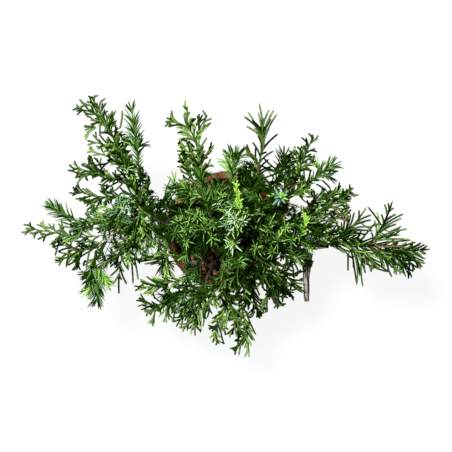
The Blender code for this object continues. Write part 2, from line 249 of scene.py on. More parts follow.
def turned(outline, steps):
    """Points and faces of an outline of (radius, height) turned once round the upright axis."""
    outline = np.array(outline, float)
    turn = np.arange(steps) * math.tau / steps
    points = np.empty((steps, len(outline), 3))
    points[..., 0] = outline[:, 0] * np.cos(turn)[:, None]
    points[..., 1] = outline[:, 0] * np.sin(turn)[:, None]
    points[..., 2] = outline[:, 1]
    index = np.arange(steps * len(outline)).reshape(steps, -1)
    after = np.roll(index, -1, axis=0)
    faces = np.stack([index[:, :-1], after[:, :-1], after[:, 1:], index[:, 1:]], -1)
    return points.reshape(-1, 3), faces.reshape(-1, 4)


terracotta = new_material("thrown_unglazed_terracotta")
# Fired clay is matt and uneven: warm orange with darker damp clouds, pale lime bloom and open grit.
clay = mixed(terracotta, pattern(terracotta, 26, 6), "9C5537", "B96F50")
bloom = pattern(terracotta, 9, 8, Roughness=0.7)
clay = mixed(terracotta, ranged(terracotta, bloom, 0.56, 0.74, 0, 0.55), clay, "CFA58C")
grit = pattern(terracotta, 0.8, 2)
clay = mixed(terracotta, 1.0, clay, ranged(terracotta, grit, 0.3, 0.7, 0.82, 1.08), "MULTIPLY")
relief = bumped(terracotta, grit, 0.35, 0.3)
finish(terracotta, {"Base Color": clay, "Normal": relief, "Roughness": 0.88, "IOR": 1.5})

collar_foot = POT_HEIGHT - POT_COLLAR_HEIGHT
collar_radius = POT_RADIUS - POT_COLLAR_DRAFT
neck_radius = collar_radius - POT_COLLAR_STEP
lip_inner = POT_RADIUS - POT_LIP_WIDTH
outline = [(0, 0)]
outline += rounded((POT_FOOT_RADIUS - FOOT_ROUND, FOOT_ROUND), FOOT_ROUND, -90, 0)
outline += [(neck_radius - 0.3, collar_foot - 1.5), (neck_radius + 0.6, collar_foot - 0.2)]
outline += rounded((collar_radius - COLLAR_ROUND, collar_foot + 2.0), COLLAR_ROUND, -80, 0)
outline += rounded((POT_RADIUS - LIP_ROUND, POT_HEIGHT - LIP_ROUND), LIP_ROUND, 0, 90)
outline += rounded((lip_inner + LIP_INNER_ROUND, POT_HEIGHT - LIP_INNER_ROUND), LIP_INNER_ROUND, 90, 180)
outline += [(POT_BORE_AT_FLOOR + 0.6, POT_FLOOR + FLOOR_ROUND)]
outline += rounded((POT_BORE_AT_FLOOR - 2.6, POT_FLOOR + FLOOR_ROUND), FLOOR_ROUND, 0, -90)
outline += [(0, POT_FLOOR)]
points, faces = turned(between(outline, 2.0), POT_STEPS)
for point in points:
    away = math.hypot(point[0], point[1])
    if away < 20 or point[2] < 1.9:
        continue
    outside = away > POT_BORE_AT_FLOOR + (point[2] - POT_FLOOR) * POT_BORE_SLOPE + 1.5
    ring = math.sin(point[2] / RING_PITCH * math.tau) * RING_DEPTH if outside else 0
    waver = noise.noise(Vector(point) / 34) * 0.5 + noise.noise(Vector(point) / 7) * 0.18
    point[:2] *= 1 + (ring + waver - 0.25) / away
pot = add_piece("terracotta_pot", points, faces, terracotta, ["pot"])
weld(pot.data)
drain_points, drain_faces = [], []
drain_outline = [(0, -3), (DRAIN_RADIUS, -3), (DRAIN_RADIUS, POT_FLOOR + 3), (0, POT_FLOOR + 3)]
for number in range(3):
    angle = math.radians(30 + 120 * number)
    hole, hole_faces = turned(drain_outline, 24)
    hole[:, :2] += (DRAIN_CIRCLE * math.cos(angle), DRAIN_CIRCLE * math.sin(angle))
    drain_faces.append(hole_faces + sum(len(p) for p in drain_points))
    drain_points.append(hole)
drill = bpy.data.meshes.new("drill")
drill.from_pydata((np.concatenate(drain_points) * MM).tolist(), [], np.concatenate(drain_faces).tolist())
weld(drill)
drill_piece = add_object("drill", drill)
cut = pot.modifiers.new("drains", "BOOLEAN")
cut.operation = "DIFFERENCE"
cut.solver = "EXACT"
cut.object = drill_piece
bpy.context.view_layer.update()
drilled = bpy.data.meshes.new_from_object(pot.evaluated_get(bpy.context.evaluated_depsgraph_get()))
pot.modifiers.clear()
pot.data = drilled
bpy.data.objects.remove(drill_piece)


# The soil
# Loose bonsai soil: coarse lumps of fired clay and bark 5 to 9 mm across, tan to dark brown, with a
# few pale grains of pumice, over a bed of dark crumbs. It rises a little to the trunk.
SOIL_AT_WALL = 99
SOIL_AT_TRUNK = 103
SOIL_MOUND_RADIUS = 24
SOIL_RADIUS = 53.3
BED_ROUGHNESS = 1.3
BED_RINGS = 36
TRUNK_FOOT = (3, -3)
TRUNK_ROOM = 11
LUMPS = {
    # how many, their sizes in mm, the material's name, its two tones, speckle and roughness
    # The tan and brown lumps are painted lighter than the clay's own tone: painted light against the crown's
    # shade on the soil.
    "tan_lumps": (105, (5.0, 9.0), "fired_clay_tan", "C48C5E", "ECB88A", 0.9, 0.9),
    "brown_lumps": (150, (4.5, 9.5), "fired_clay_brown", "70482A", "A26E46", 0.9, 0.9),
    "dark_lumps": (105, (3.5, 7.5), "bark_chips_dark", "2A1A10", "4A3019", 0.8, 0.92),
    "pumice_grains": (22, (3.0, 5.5), "pumice", "C9CCBF", "EDEFE8", 0.5, 0.8),
}
soil_rng = np.random.default_rng(41)


def soil_height(away):
    share = np.clip((SOIL_RADIUS - away) / (SOIL_RADIUS - SOIL_MOUND_RADIUS), 0, 1)
    return SOIL_AT_WALL + (SOIL_AT_TRUNK - SOIL_AT_WALL) * share


def granular(name, low, high, grain_mm, roughness):
    """A crumbly mineral: its colour changes from lump to lump and is speckled within each."""
    material = new_material(name)
    tone = mixed(material, ranged(material, pattern(material, 7, 2), 0.3, 0.7), low, high)
    speck = pattern(material, grain_mm, 4)
    tone = mixed(material, 1.0, tone, ranged(material, speck, 0.35, 0.65, 0.6, 1.15), "MULTIPLY")
    relief = bumped(material, speck, 0.6, 0.4)
    finish(material, {"Base Color": tone, "Normal": relief, "Roughness": roughness})
    return material


soil_foot = POT_FLOOR + 0.3
outline = between([(0, soil_foot), (POT_BORE_AT_FLOOR - 0.6, soil_foot), (SOIL_RADIUS, SOIL_AT_WALL)], 9)
outline += [(SOIL_RADIUS * (1 - i / BED_RINGS), SOIL_AT_WALL) for i in range(1, BED_RINGS + 1)]
points, faces = turned(outline, 120)
for point in points:
    away = math.hypot(point[0], point[1])
    if point[2] >= SOIL_AT_WALL - 0.01 and away < SOIL_RADIUS - 0.01:
        crumbs = noise.noise(Vector(point) / 3.2) + 0.6 * noise.noise(Vector(point) / 1.5)
        point[2] = soil_height(away) - 1.6 + crumbs * BED_ROUGHNESS
crumbly = granular("damp_soil_crumbs", "1E130B", "3A2416", 1.1, 0.95)
add_piece("soil_bed", points, faces, crumbly, ["soil"])

ball = bmesh.new()
bmesh.ops.create_icosphere(ball, subdivisions=3, radius=0.5)
ball_points = np.array([v.co[:] for v in ball.verts])
ball_faces = np.array([[v.index for v in f.verts] for f in ball.faces])
ball.free()


def lump(size, seed):
    """One broken lump: a ball pressed flat on a few sides, with a rough skin."""
    points = ball_points.copy()
    squash = soil_rng.uniform(0.62, 1.0, 3)
    for normal in soil_rng.normal(size=(7, 3)):
        normal /= np.linalg.norm(normal)
        over = points @ normal - soil_rng.uniform(0.28, 0.42)
        points -= np.clip(over, 0, None)[:, None] * normal * 0.85
    rough = np.array([noise.noise(Vector(p * 3) + Vector((seed, 0, 0))) for p in points])
    points *= (1 + rough * 0.16)[:, None]
    spin = np.linalg.qr(soil_rng.normal(size=(3, 3)))[0]
    if np.linalg.det(spin) < 0:
        spin[:, 0] *= -1
    return (points * squash) @ spin.T * size


laid = []
seed = 0
for name, (count, sizes, *look) in LUMPS.items():
    points, faces = [], []
    while len(points) < count:
        size = soil_rng.uniform(*sizes)
        spread = 0.66
        for attempt in range(60):
            away = math.sqrt(soil_rng.uniform(0, 1)) * (SOIL_RADIUS - size * 0.42)
            turn = soil_rng.uniform(0, math.tau)
            spot = np.array((away * math.cos(turn), away * math.sin(turn)))
            if np.hypot(*(spot - TRUNK_FOOT)) < TRUNK_ROOM:
                continue
            if all(np.hypot(*(spot - other)) > (size + width) / 2 * spread for other, width in laid):
                break
            spread *= 0.985
        laid.append((spot, size))
        place = np.array((*spot, soil_height(np.hypot(*spot)) + soil_rng.uniform(-0.36, 0.16) * size))
        faces.append(ball_faces + len(points) * len(ball_points))
        points.append(lump(size, seed) + place)
        seed += 7.3
    add_piece(name, np.concatenate(points), np.concatenate(faces), granular(*look))


# The trunk and the boughs
# Living juniper wood under thin bark: grey-brown, splitting into long fibrous strips that follow
# the limb. The trunk bends left and right as it rises from flared surface roots.
TRUNK_BENDS = [(3, -3, 102.6), (4, -3, 112), (9, -3, 128), (20, -1, 148), (29, 2, 170), (31, 5, 190),
               (26, 8, 212), (17, 9, 236), (11, 8, 262), (11, 7, 288)]
TRUNK_RADII = (9.5, 2.2)
TRUNK_TAPER = 0.75
FLARE_HEIGHT = 18
FLARE_WIDTH = 6.5
FLARE_ROOTS = 5
BOUGHS = {
    # height on the trunk, tip, sideways bow, lift, and radius at each end
    "bough_left": (176, (-82, 22, 203), 11, 2, (5.6, 3.6)),
    "bough_back_left": (212, (-26, 50, 227), 3, 2, (3.4, 2.3)),
    "bough_back": (203, (31, 50, 222), 2, 2, (3.0, 2.0)),
    "bough_back_right": (192, (62, 38, 206), -3, 2, (3.3, 2.2)),
    "bough_right": (166, (106, -15, 176), -3, -3, (4.2, 2.6)),
    "bough_front_right": (158, (48, -32, 160), -3, 2, (3.2, 2.2)),
    "bough_front": (154, (13, -54, 160), 3, 2, (3.2, 2.2)),
    "bough_front_left": (146, (-20, -50, 156), -3, 2, (1.6, 1.1)),
}
BOUGH_STEPS = 70
UP = np.array((0, 0, 1.0))
wood = []


def unit(vector):
    return vector / max(np.linalg.norm(vector), 1e-9)


def way_along(line):
    """How far along a line each of its points is."""
    return np.concatenate([[0], np.cumsum(np.linalg.norm(np.diff(line, axis=0), axis=1))])


def smooth_line(points, count):
    """A smooth curve through the points, as evenly spaced points."""
    points = np.asarray(points, float)
    padded = np.vstack([2 * points[0] - points[1], points, 2 * points[-1] - points[-2]])
    line = []
    for a, b, c, d in zip(padded, padded[1:], padded[2:], padded[3:]):
        for t in np.linspace(0, 1, 12, endpoint=False):
            line.append(b + (c - a) / 2 * t + (a - 2.5 * b + 2 * c - d / 2) * t**2
                        + (3 * b - a - 3 * c + d) / 2 * t**3)
    line = np.array(line + [points[-1]])
    gone = way_along(line)
    want = np.linspace(0, gone[-1], count)
    return np.stack([np.interp(want, gone, line[:, axis]) for axis in range(3)], 1)


def bowed(start, end, bow, lift, count):
    way = np.subtract(end, start)
    push = unit(np.cross(UP, way)) * bow + UP * lift
    share = np.linspace(0, 1, count)[:, None]
    return np.asarray(start, float) + way * share + push * 4 * share * (1 - share)


def skin(points):
    """Four-cornered faces round each of many tubes, whose points are (tubes, steps, sides, 3)."""
    index = np.arange(points[..., 0].size).reshape(points.shape[:3])
    here, after = index[:, :-1], index[:, 1:]
    return np.stack([here, np.roll(here, -1, 2), np.roll(after, -1, 2), after], -1).reshape(-1, 4)


def tubes(lines, radii, sides):
    """Points of many tubes, and their directions out of the middle lines, which are (tubes, steps, 3)."""
    ahead = np.gradient(lines, axis=1)
    ahead /= np.maximum(np.linalg.norm(ahead, axis=2, keepdims=True), 1e-9)
    side = np.cross(ahead[:, 0], UP)
    steep = np.linalg.norm(side, axis=1) < 0.25
    side[steep] = np.cross(ahead[steep, 0], (0, 1.0, 0))
    across = np.empty_like(lines)
    for step in range(lines.shape[1]):
        side = side - (side * ahead[:, step]).sum(1, keepdims=True) * ahead[:, step]
        side /= np.maximum(np.linalg.norm(side, axis=1, keepdims=True), 1e-9)
        across[:, step] = side
    over = np.cross(ahead, across)
    turn = (np.arange(sides) * math.tau / sides)[:, None]
    if radii.ndim == 2:
        radii = np.repeat(radii[:, :, None], sides, axis=2)
    out = np.cos(turn) * across[:, :, None] + np.sin(turn) * over[:, :, None]
    return lines[:, :, None] + out * radii[..., None], out


def keep_grain(piece, grain):
    """Stores where each point is in the wood's grain, for the pattern of its finish."""
    stored = piece.data.attributes.new("grain", "FLOAT_VECTOR", "POINT")
    stored.data.foreach_set("vector", grain.astype(np.float32).ravel())


def bark_relief(grain):
    """How far strips and cracks stand out of a limb 1 mm thick, at points of its grain."""
    strips = [1 - abs(noise.noise(Vector((g[0] * 0.9, g[1] * 0.9, g[2] * 0.09)))) * 2 for g in grain]
    knots = [noise.noise(Vector((g[0] * 0.28, g[1] * 0.28, g[2] * 0.06)) + Vector((9, 3, 5))) for g in grain]
    return np.array(strips) * 0.09 + np.array(knots) * 0.16


def add_limb(name, line, radii, material, stands_for=(), flare=0, sides=24):
    """A limb with relief along its grain, closed at both ends."""
    gone = way_along(line)
    turn = np.arange(sides) * math.tau / sides
    twist = gone[:, None] * 0.012
    shift = sum(map(ord, name)) % 97
    grain = np.stack([np.cos(turn + twist) * radii[:, None], np.sin(turn + twist) * radii[:, None],
                      np.repeat(gone[:, None] + shift, sides, 1)], -1)
    relief = bark_relief(grain.reshape(-1, 3)).reshape(len(line), sides) * radii[:, None] * 1.5
    points, out = tubes(line[None], (radii[:, None] + relief)[None], sides)
    faces = skin(points)
    points = points[0]
    if flare:
        rise = np.clip(1 - (points[..., 2] - line[0, 2]) / FLARE_HEIGHT, 0, 1) ** 2
        around = np.arctan2(out[0, :, :, 1], out[0, :, :, 0])
        share = 0.45 + 0.55 * (1 + np.cos(FLARE_ROOTS * around + 0.6 * np.sin(around * 2))) / 2
        level = out[0] * (1, 1, 0)
        points += level * (flare * share * rise)[..., None]
        points[0, :, 2] = line[0, 2]
    count = points[..., 0].size
    flat = np.vstack([points.reshape(-1, 3), points[0].mean(0), points[-1].mean(0)])
    piece = add_piece(name, flat, faces, material, stands_for)
    shape = bmesh.new()
    shape.from_mesh(piece.data)
    shape.verts.ensure_lookup_table()
    last = count - sides
    caps = [(count, (i + 1) % sides, i) for i in range(sides)]
    caps += [(count + 1, last + i, last + (i + 1) % sides) for i in range(sides)]
    for corners in caps:
        shape.faces.new([shape.verts[i] for i in corners]).smooth = True
    shape.to_mesh(piece.data)
    shape.free()
    keep_grain(piece, np.vstack([grain.reshape(-1, 3), (0, 0, shift), (0, 0, gone[-1] + shift)]))


def fibrous(name, dark, middle, pale, strip_mm, roughness, pale_from, dark_side_patch=None):
    """Wood or bark drawn out along the limb: strips of three tones with cracks of the dark one."""
    material = new_material(name)
    grain = add_node(material, "Attribute", {"attribute_name": "grain"}, "Vector")
    narrow = 1 / strip_mm
    drawn = add_node(material, "Mapping", {"Vector": grain, "Scale": (narrow, narrow, narrow / 9)})
    strips = add_node(material, "TexNoise", {"Vector": drawn, "Scale": 1.0, "Detail": 6, "Roughness": 0.65})
    tone = mixed(material, ranged(material, strips, 0.36, 0.6), dark, middle)
    tone = mixed(material, ranged(material, strips, pale_from, pale_from + 0.14), tone, pale)
    # a near-black patch on one side of the limb over a stretch of its length, broken up by the strips
    if dark_side_patch:
        begin, end = dark_side_patch
        along = add_node(material, "SeparateXYZ", {"Vector": grain}, "Z")
        beside = add_node(material, "SeparateXYZ", {"Vector": grain}, "X")
        patch = ranged(material, along, begin, begin + 4)
        for limit in (ranged(material, along, end, end + 7, 1, 0), ranged(material, beside, 1.6, -0.6),
                      ranged(material, strips, 0.3, 0.5)):
            patch = add_node(material, "Math", {"operation": "MULTIPLY", 0: patch, 1: limit})
        tone = mixed(material, patch, tone, "0F0C0A")
    relief = bumped(material, strips, 0.8, 0.8)
    finish(material, {"Base Color": tone, "Normal": relief, "Roughness": roughness})
    return material


# The bark's three tones are painted darker than the real grey-brown, near black, as painted shade under the
# crown.
bark = fibrous("fibrous_juniper_bark", "160F0A", "463529", "8F7A62", 1.4, 0.92, 0.64)
trunk_line = smooth_line(TRUNK_BENDS, 150)
trunk_share = np.linspace(0, 1, len(trunk_line))
trunk_radii = TRUNK_RADII[0] + (TRUNK_RADII[1] - TRUNK_RADII[0]) * trunk_share ** TRUNK_TAPER
add_limb("trunk_bark", trunk_line, trunk_radii, bark, ["trunk"], flare=FLARE_WIDTH, sides=40)
wood.append((trunk_line, trunk_radii))
for name, (height, tip, bow, lift, (thick, thin)) in BOUGHS.items():
    start = trunk_line[np.abs(trunk_line[:, 2] - height).argmin()]
    line = bowed(start, tip, bow, lift, BOUGH_STEPS)
    radii = np.linspace(thick, thin, BOUGH_STEPS)
    add_limb(name + "_bark", line, radii, bark, [name])
    wood.append((line, radii))


# The dead limb
# A bare limb that died back: silver-grey weathered wood, split along the grain, its end sawn
# through and still pinkish tan, with one dark broken stub on its side.
DEAD_LIMB = {
    # root, tip, sideways bow, lift, and radius at each end
    "dead_limb_inner": ((25, -1, 152), (86, -23, 158), -4, 3, (4.6, 4.0)),
    "dead_limb_outer": ((87, -23, 158), (85.5, -72.5, 148), -1.5, 1, (4.1, 2.6)),
}
DEAD_STEPS = 60
# where along the limb's grain, in mm, its near-black patch on one side begins and ends
DARK_SIDE_PATCH = (87, 106)
STUB = (-7.5, -2.5, 1.0)
STUB_RADII = (1.9, 0.9)
deadwood = fibrous("silver_weathered_deadwood", "171310", "5E574E", "B8B1A6", 1.6, 0.85, 0.5, DARK_SIDE_PATCH)
for name, (start, end, bow, lift, (thick, thin)) in DEAD_LIMB.items():
    line = bowed(start, end, bow, lift, DEAD_STEPS)
    add_limb(name + "_wood", line, np.linspace(thick, thin, DEAD_STEPS), deadwood, [name])
cut_face = new_material("sawn_end_grain")
# Sawn end grain is open and dry: pinkish tan with fine darker rings about 0.9 mm apart.
raw_wood = mixed(cut_face, pattern(cut_face, 0.9, 4), "B88B72", "DDBBA4")
finish(cut_face, {"Base Color": raw_wood, "Roughness": 0.85})
sawn_end = line[-1] + np.linspace(0, 0.9, 6)[:, None] * unit(line[-1] - line[-2])
add_limb("dead_limb_sawn_end", sawn_end, np.full(6, thin * 0.97), cut_face)
stub_start = line[DEAD_STEPS // 2]
stub_line = bowed(stub_start, stub_start + STUB, 0.6, 0, 12)
stub_wood = fibrous("charred_dry_stub", "15110E", "3A322B", "6E665C", 1.0, 0.9, 0.62)
add_limb("dead_limb_stub", stub_line, np.linspace(*STUB_RADII, 12), stub_wood, sides=14)


# The shoots
# The juniper carries two kinds of leaf. Most shoots are cords: thin green twigs wrapped in pairs
# of tiny scale leaves. Young shoots carry stiff awl needles instead, in whorls of three. Each
# leader grows on from the wood; its side shoots reach the tips that the picture shows, counted in
# mm from the view's left and top, and further sprigs fill the room of the mass it belongs to.
LEADERS = {
    # the way of growing, the tones, the course as across,down,height and the side tips as across,down
    # upper left
    "left_back_leader": ("forked", "green", (138,190,209, 128,170,219, 119,150,228, 108,128,239, 100,112,246,
        92,97,253),
        (80,102, 76,108, 88,103, 103,101, 114,109, 117,115, 90,119, 89,126, 93,134, 87,140, 88,150, 95,155,
         110,112, 120,120, 113,122, 122,129, 118,138, 126,136, 128,148, 131,160, 140,246, 150,250, 132,252)),
    "left_back_fan": ("forked", "green", (126,184,213, 108,177,216, 88,171,219, 73,168,220),
        (85,162, 72,167, 75,173, 73,179, 77,180, 92,160, 104,164, 88,157, 96,157)),
    "left_upper_fan": ("forked", "dark", (128,198,207, 112,197,208, 94,196,208, 74,190,208),
        (74,185, 72,193, 77,202, 79,209, 84,187, 88,210, 100,188)),
    "left_back_shoot": ("needle", "bright", (141,200,206, 140,180,214, 138,160,224, 135,136,232,
        132,112,240),
        (128,158, 142,142, 127,138)),
    "left_heart": ("mixed", "blue", (140,206,203, 124,208,204, 108,214,203, 94,221,200),
        (115,196, 122,194, 100,205, 92,212, 118,222, 104,226)),
    "left_tuft": ("needle", "green", (100,228,204, 86,226,209, 74,220,212, 62,213,214, 54,208,216),
        (74,231)),
    "left_leader": ("forked", "green", (112,232,201, 98,236,202, 80,237,204, 50,232,206, 26,228,207),
        (28,223, 23,235, 40,222, 47,222, 33,235, 39,239, 49,245, 58,226, 66,243, 74,226)),
    "left_lower_fan": ("long", "dark", (108,240,197, 92,246,196, 74,254,194, 58,262,192),
        (55,241, 56,251, 53,259, 61,259, 74,265, 74,271, 84,262, 92,268, 98,262)),
    "left_front_leader": ("needle", "green", (112,238,197, 106,252,194, 101,268,191, 98,284,187, 97,299,184),
        (84,268, 86,282, 110,274, 108,288)),
    "left_front_tuft": ("lone", "dark", (124,238,197, 122,250,192, 121,262,187, 119,274,184),
        (119,294, 127,284, 131,263, 129,270, 124,272, 113,284, 110,276, 133,255, 115,268, 112,262, 122,280)),
    # along the thick left bough
    "bough_back": ("mixed", "dark", (150,207,207, 170,206,208, 188,204,208, 203,204,208),
        (155,197, 170,196, 182,193, 164,214)),
    "bough_sprig": ("forked", "green", (164,204,208, 165,197,212, 166,190,216, 171,178,221),
        (164,182)),
    "bough_front": ("mixed", "dark", (150,226,199, 168,234,198, 185,240,197, 200,243,196),
        (142,236, 155,244, 170,250, 185,254, 198,254, 136,248, 145,257, 160,256)),
    "bough_hanging": ("needle", "dark", (162,236,193, 165,250,187, 166,260,183, 167,268,181),
        (158,272, 174,268)),
    # back
    "back_left_leader": ("forked", "green", (203,185,228, 200,160,237, 195,140,244, 188,124,250,
        187,107,256),
        (174,110, 180,110, 184,107, 191,110, 164,121, 169,120, 170,127, 179,130, 193,116, 201,116, 208,115,
         206,123, 205,134, 180,137, 172,142, 215,143, 213,149, 179,149, 177,161, 176,166, 214,163, 184,176,
         212,172)),
    "back_tuft": ("needle", "green", (230,190,246, 232,176,249, 234,166,251, 235,156,254),
        (224,154, 243,152, 229,150, 226,164)),
    "back_shoot": ("long", "dark", (257,178,224, 260,160,232, 263,142,239, 264,128,244),
        (245,146, 250,151, 243,160, 270,158, 274,166, 252,166)),
    "back_tip": ("lone", "dark", (264,148,241, 264,142,243, 263,136,245, 262,131,247),
        (259,103, 248,112, 244,117, 246,126, 258,113, 269,110, 274,110, 277,114, 278,134, 268,122, 264,118,
         252,120, 271,119, 254,128)),
    "back_right_tuft": ("needle", "dark", (276,188,213, 281,174,220, 283,164,226, 284,157,229),
        (266,162, 293,156)),
    "back_right_leader": ("forked", "green", (289,190,208, 297,174,215, 304,158,223, 309,146,228,
        313,138,232),
        (293,148, 296,148, 299,146, 303,143, 313,153, 318,160, 298,160, 310,166, 306,150)),
    "right_back_tuft": ("needle", "bright", (301,190,204, 311,181,208, 321,173,212, 331,166,214),
        (321,161, 335,175)),
    # right
    "right_heart": ("mixed", "green", (284,222,188, 300,224,187, 318,227,184, 336,232,181),
        (300,212, 304,236, 290,236, 318,218, 322,238, 334,222, 294,248, 312,250)),
    "right_back_fan": ("forked", "green", (308,203,192, 322,198,194, 336,194,196, 350,191,198),
        (353,188, 349,194, 347,197, 336,189, 341,189, 357,198, 350,206, 326,186, 318,210, 332,214, 314,192)),
    "right_upper_fan": ("lone", "dark", (336,240,178, 344,234,180, 352,228,182, 358,221,184),
        (367,207, 359,210, 371,215, 371,220, 372,227, 373,231, 344,215, 350,214, 338,228, 341,222, 354,212,
         365,222, 366,235, 330,214, 362,230, 348,218)),
    "right_leader": ("long", "green", (318,245,177, 345,243,177, 370,244,178, 395,246,179),
        (352,232, 362,234, 352,258, 363,258, 372,262, 380,238, 388,232, 378,268, 384,260, 393,268, 346,254)),
    "right_lower_fan": ("lone", "dark", (344,245,175, 350,247,173, 357,251,171, 365,256,169),
        (348,271, 357,285, 363,288, 365,273, 371,272, 353,268, 358,270, 369,266, 389,272, 376,268, 360,276)),
    "right_out_tuft": ("lone", "green", (372,242,180, 380,232,183, 385,220,186, 389,209,188),
        (391,201, 384,204, 394,208, 377,212, 403,214, 402,218, 407,229, 396,214, 381,214, 388,203, 374,220,
         376,228, 400,235, 371,232, 396,224, 392,216, 410,240, 386,210)),
    "right_tip": ("long", "green", (370,250,179, 388,249,180, 406,250,181, 425,249,182),
        (408,241, 415,243, 418,245, 425,255, 425,260, 421,267, 416,270, 411,276, 400,273, 386,269, 398,240,
         392,264, 404,264, 409,268, 378,258, 394,256)),
    # front
    "front_right_fan": ("cord", "green", (268,258,163, 278,268,161, 290,280,158, 302,291,156),
        (310,297, 303,293, 298,298, 290,266, 300,276, 306,284, 284,284, 296,262)),
    "front_right_tuft": ("cord", "green", (260,268,161, 266,280,158, 272,292,155, 278,304,152),
        (287,293, 282,298, 286,307, 277,311, 267,313, 274,300, 262,290, 282,286, 265,304, 262,312)),
    "front_fan": ("cord", "green", (246,278,161, 250,290,158, 255,302,155, 259,314,152),
        (263,315, 260,320, 251,319, 244,300, 262,300, 243,310)),
    "front_leader": ("long", "green", (236,284,163, 241,304,163, 245,324,163, 247,345,162),
        (256,335, 253,346, 249,357, 241,347, 233,353, 234,322, 252,326)),
    "front_left_fan": ("cord", "green", (228,292,159, 224,308,157, 218,324,154, 214,338,152),
        (220,346, 213,342, 212,334, 209,330, 208,324, 210,320, 232,320, 226,334, 222,316)),
    "front_left_leader": ("cord", "green", (207,278,159, 203,294,156, 199,310,153, 195,328,150),
        (187,330, 195,335, 199,331, 173,323, 181,329, 186,316, 206,318, 208,306, 190,300)),
    "front_far_fan": ("cord", "green", (190,286,155, 176,296,152, 162,304,149, 148,312,146),
        (138,300, 140,305, 143,310, 150,311, 147,315, 151,325, 165,322, 173,314, 158,314)),
    "front_far_tuft": ("long", "bright", (192,278,160, 176,281,158, 160,285,155, 144,288,153),
        (138,278, 137,291, 150,276, 146,297, 160,276, 150,296, 172,290)),
    # crown
    "crown_top": ("mixed", "green", (237,224,262, 237,223,280, 238,222,298, 238,222,314),
        (233,232, 243,214, 228,222, 247,226)),
    "crown_left": ("mixed", "dark", (228,222,257, 212,222,262, 198,223,266, 184,224,269),
        (182,218, 180,222, 181,232, 196,212, 200,232, 187,210)),
    "crown_back": ("mixed", "dark", (234,216,254, 228,204,258, 222,192,262, 218,180,266),
        (206,186, 214,178, 230,186, 212,196, 236,196, 200,190)),
    "crown_front": ("mixed", "dark", (236,232,254, 236,244,257, 236,256,260, 235,268,263),
        (226,254, 246,250, 224,266, 246,264)),
    "crown_right": ("mixed", "dark", (246,220,240, 258,212,245, 270,204,251, 282,198,256),
        (262,200, 274,192, 280,208, 268,216, 288,200)),
    "inner_left": ("mixed", "dark", (232,228,231, 216,234,232, 200,240,233, 184,246,235),
        (178,240, 190,254, 204,230, 210,250, 184,258, 196,232)),
    "inner_right": ("mixed", "shade", (256,228,207, 266,236,208, 276,244,208, 284,251,209),
        (264,252, 280,236, 290,246, 272,262, 284,262, 262,240)),
    "inner_front": ("cord", "dark", (252,234,205, 252,248,204, 252,262,203, 252,276,202),
        (240,262, 264,264, 242,280, 262,282, 232,272, 248,290)),
    "inner_back": ("cord", "bright", (212,197,237, 200,193,239, 190,190,241, 180,187,243),
        (176,194, 186,178, 196,182, 178,182, 204,204)),
}
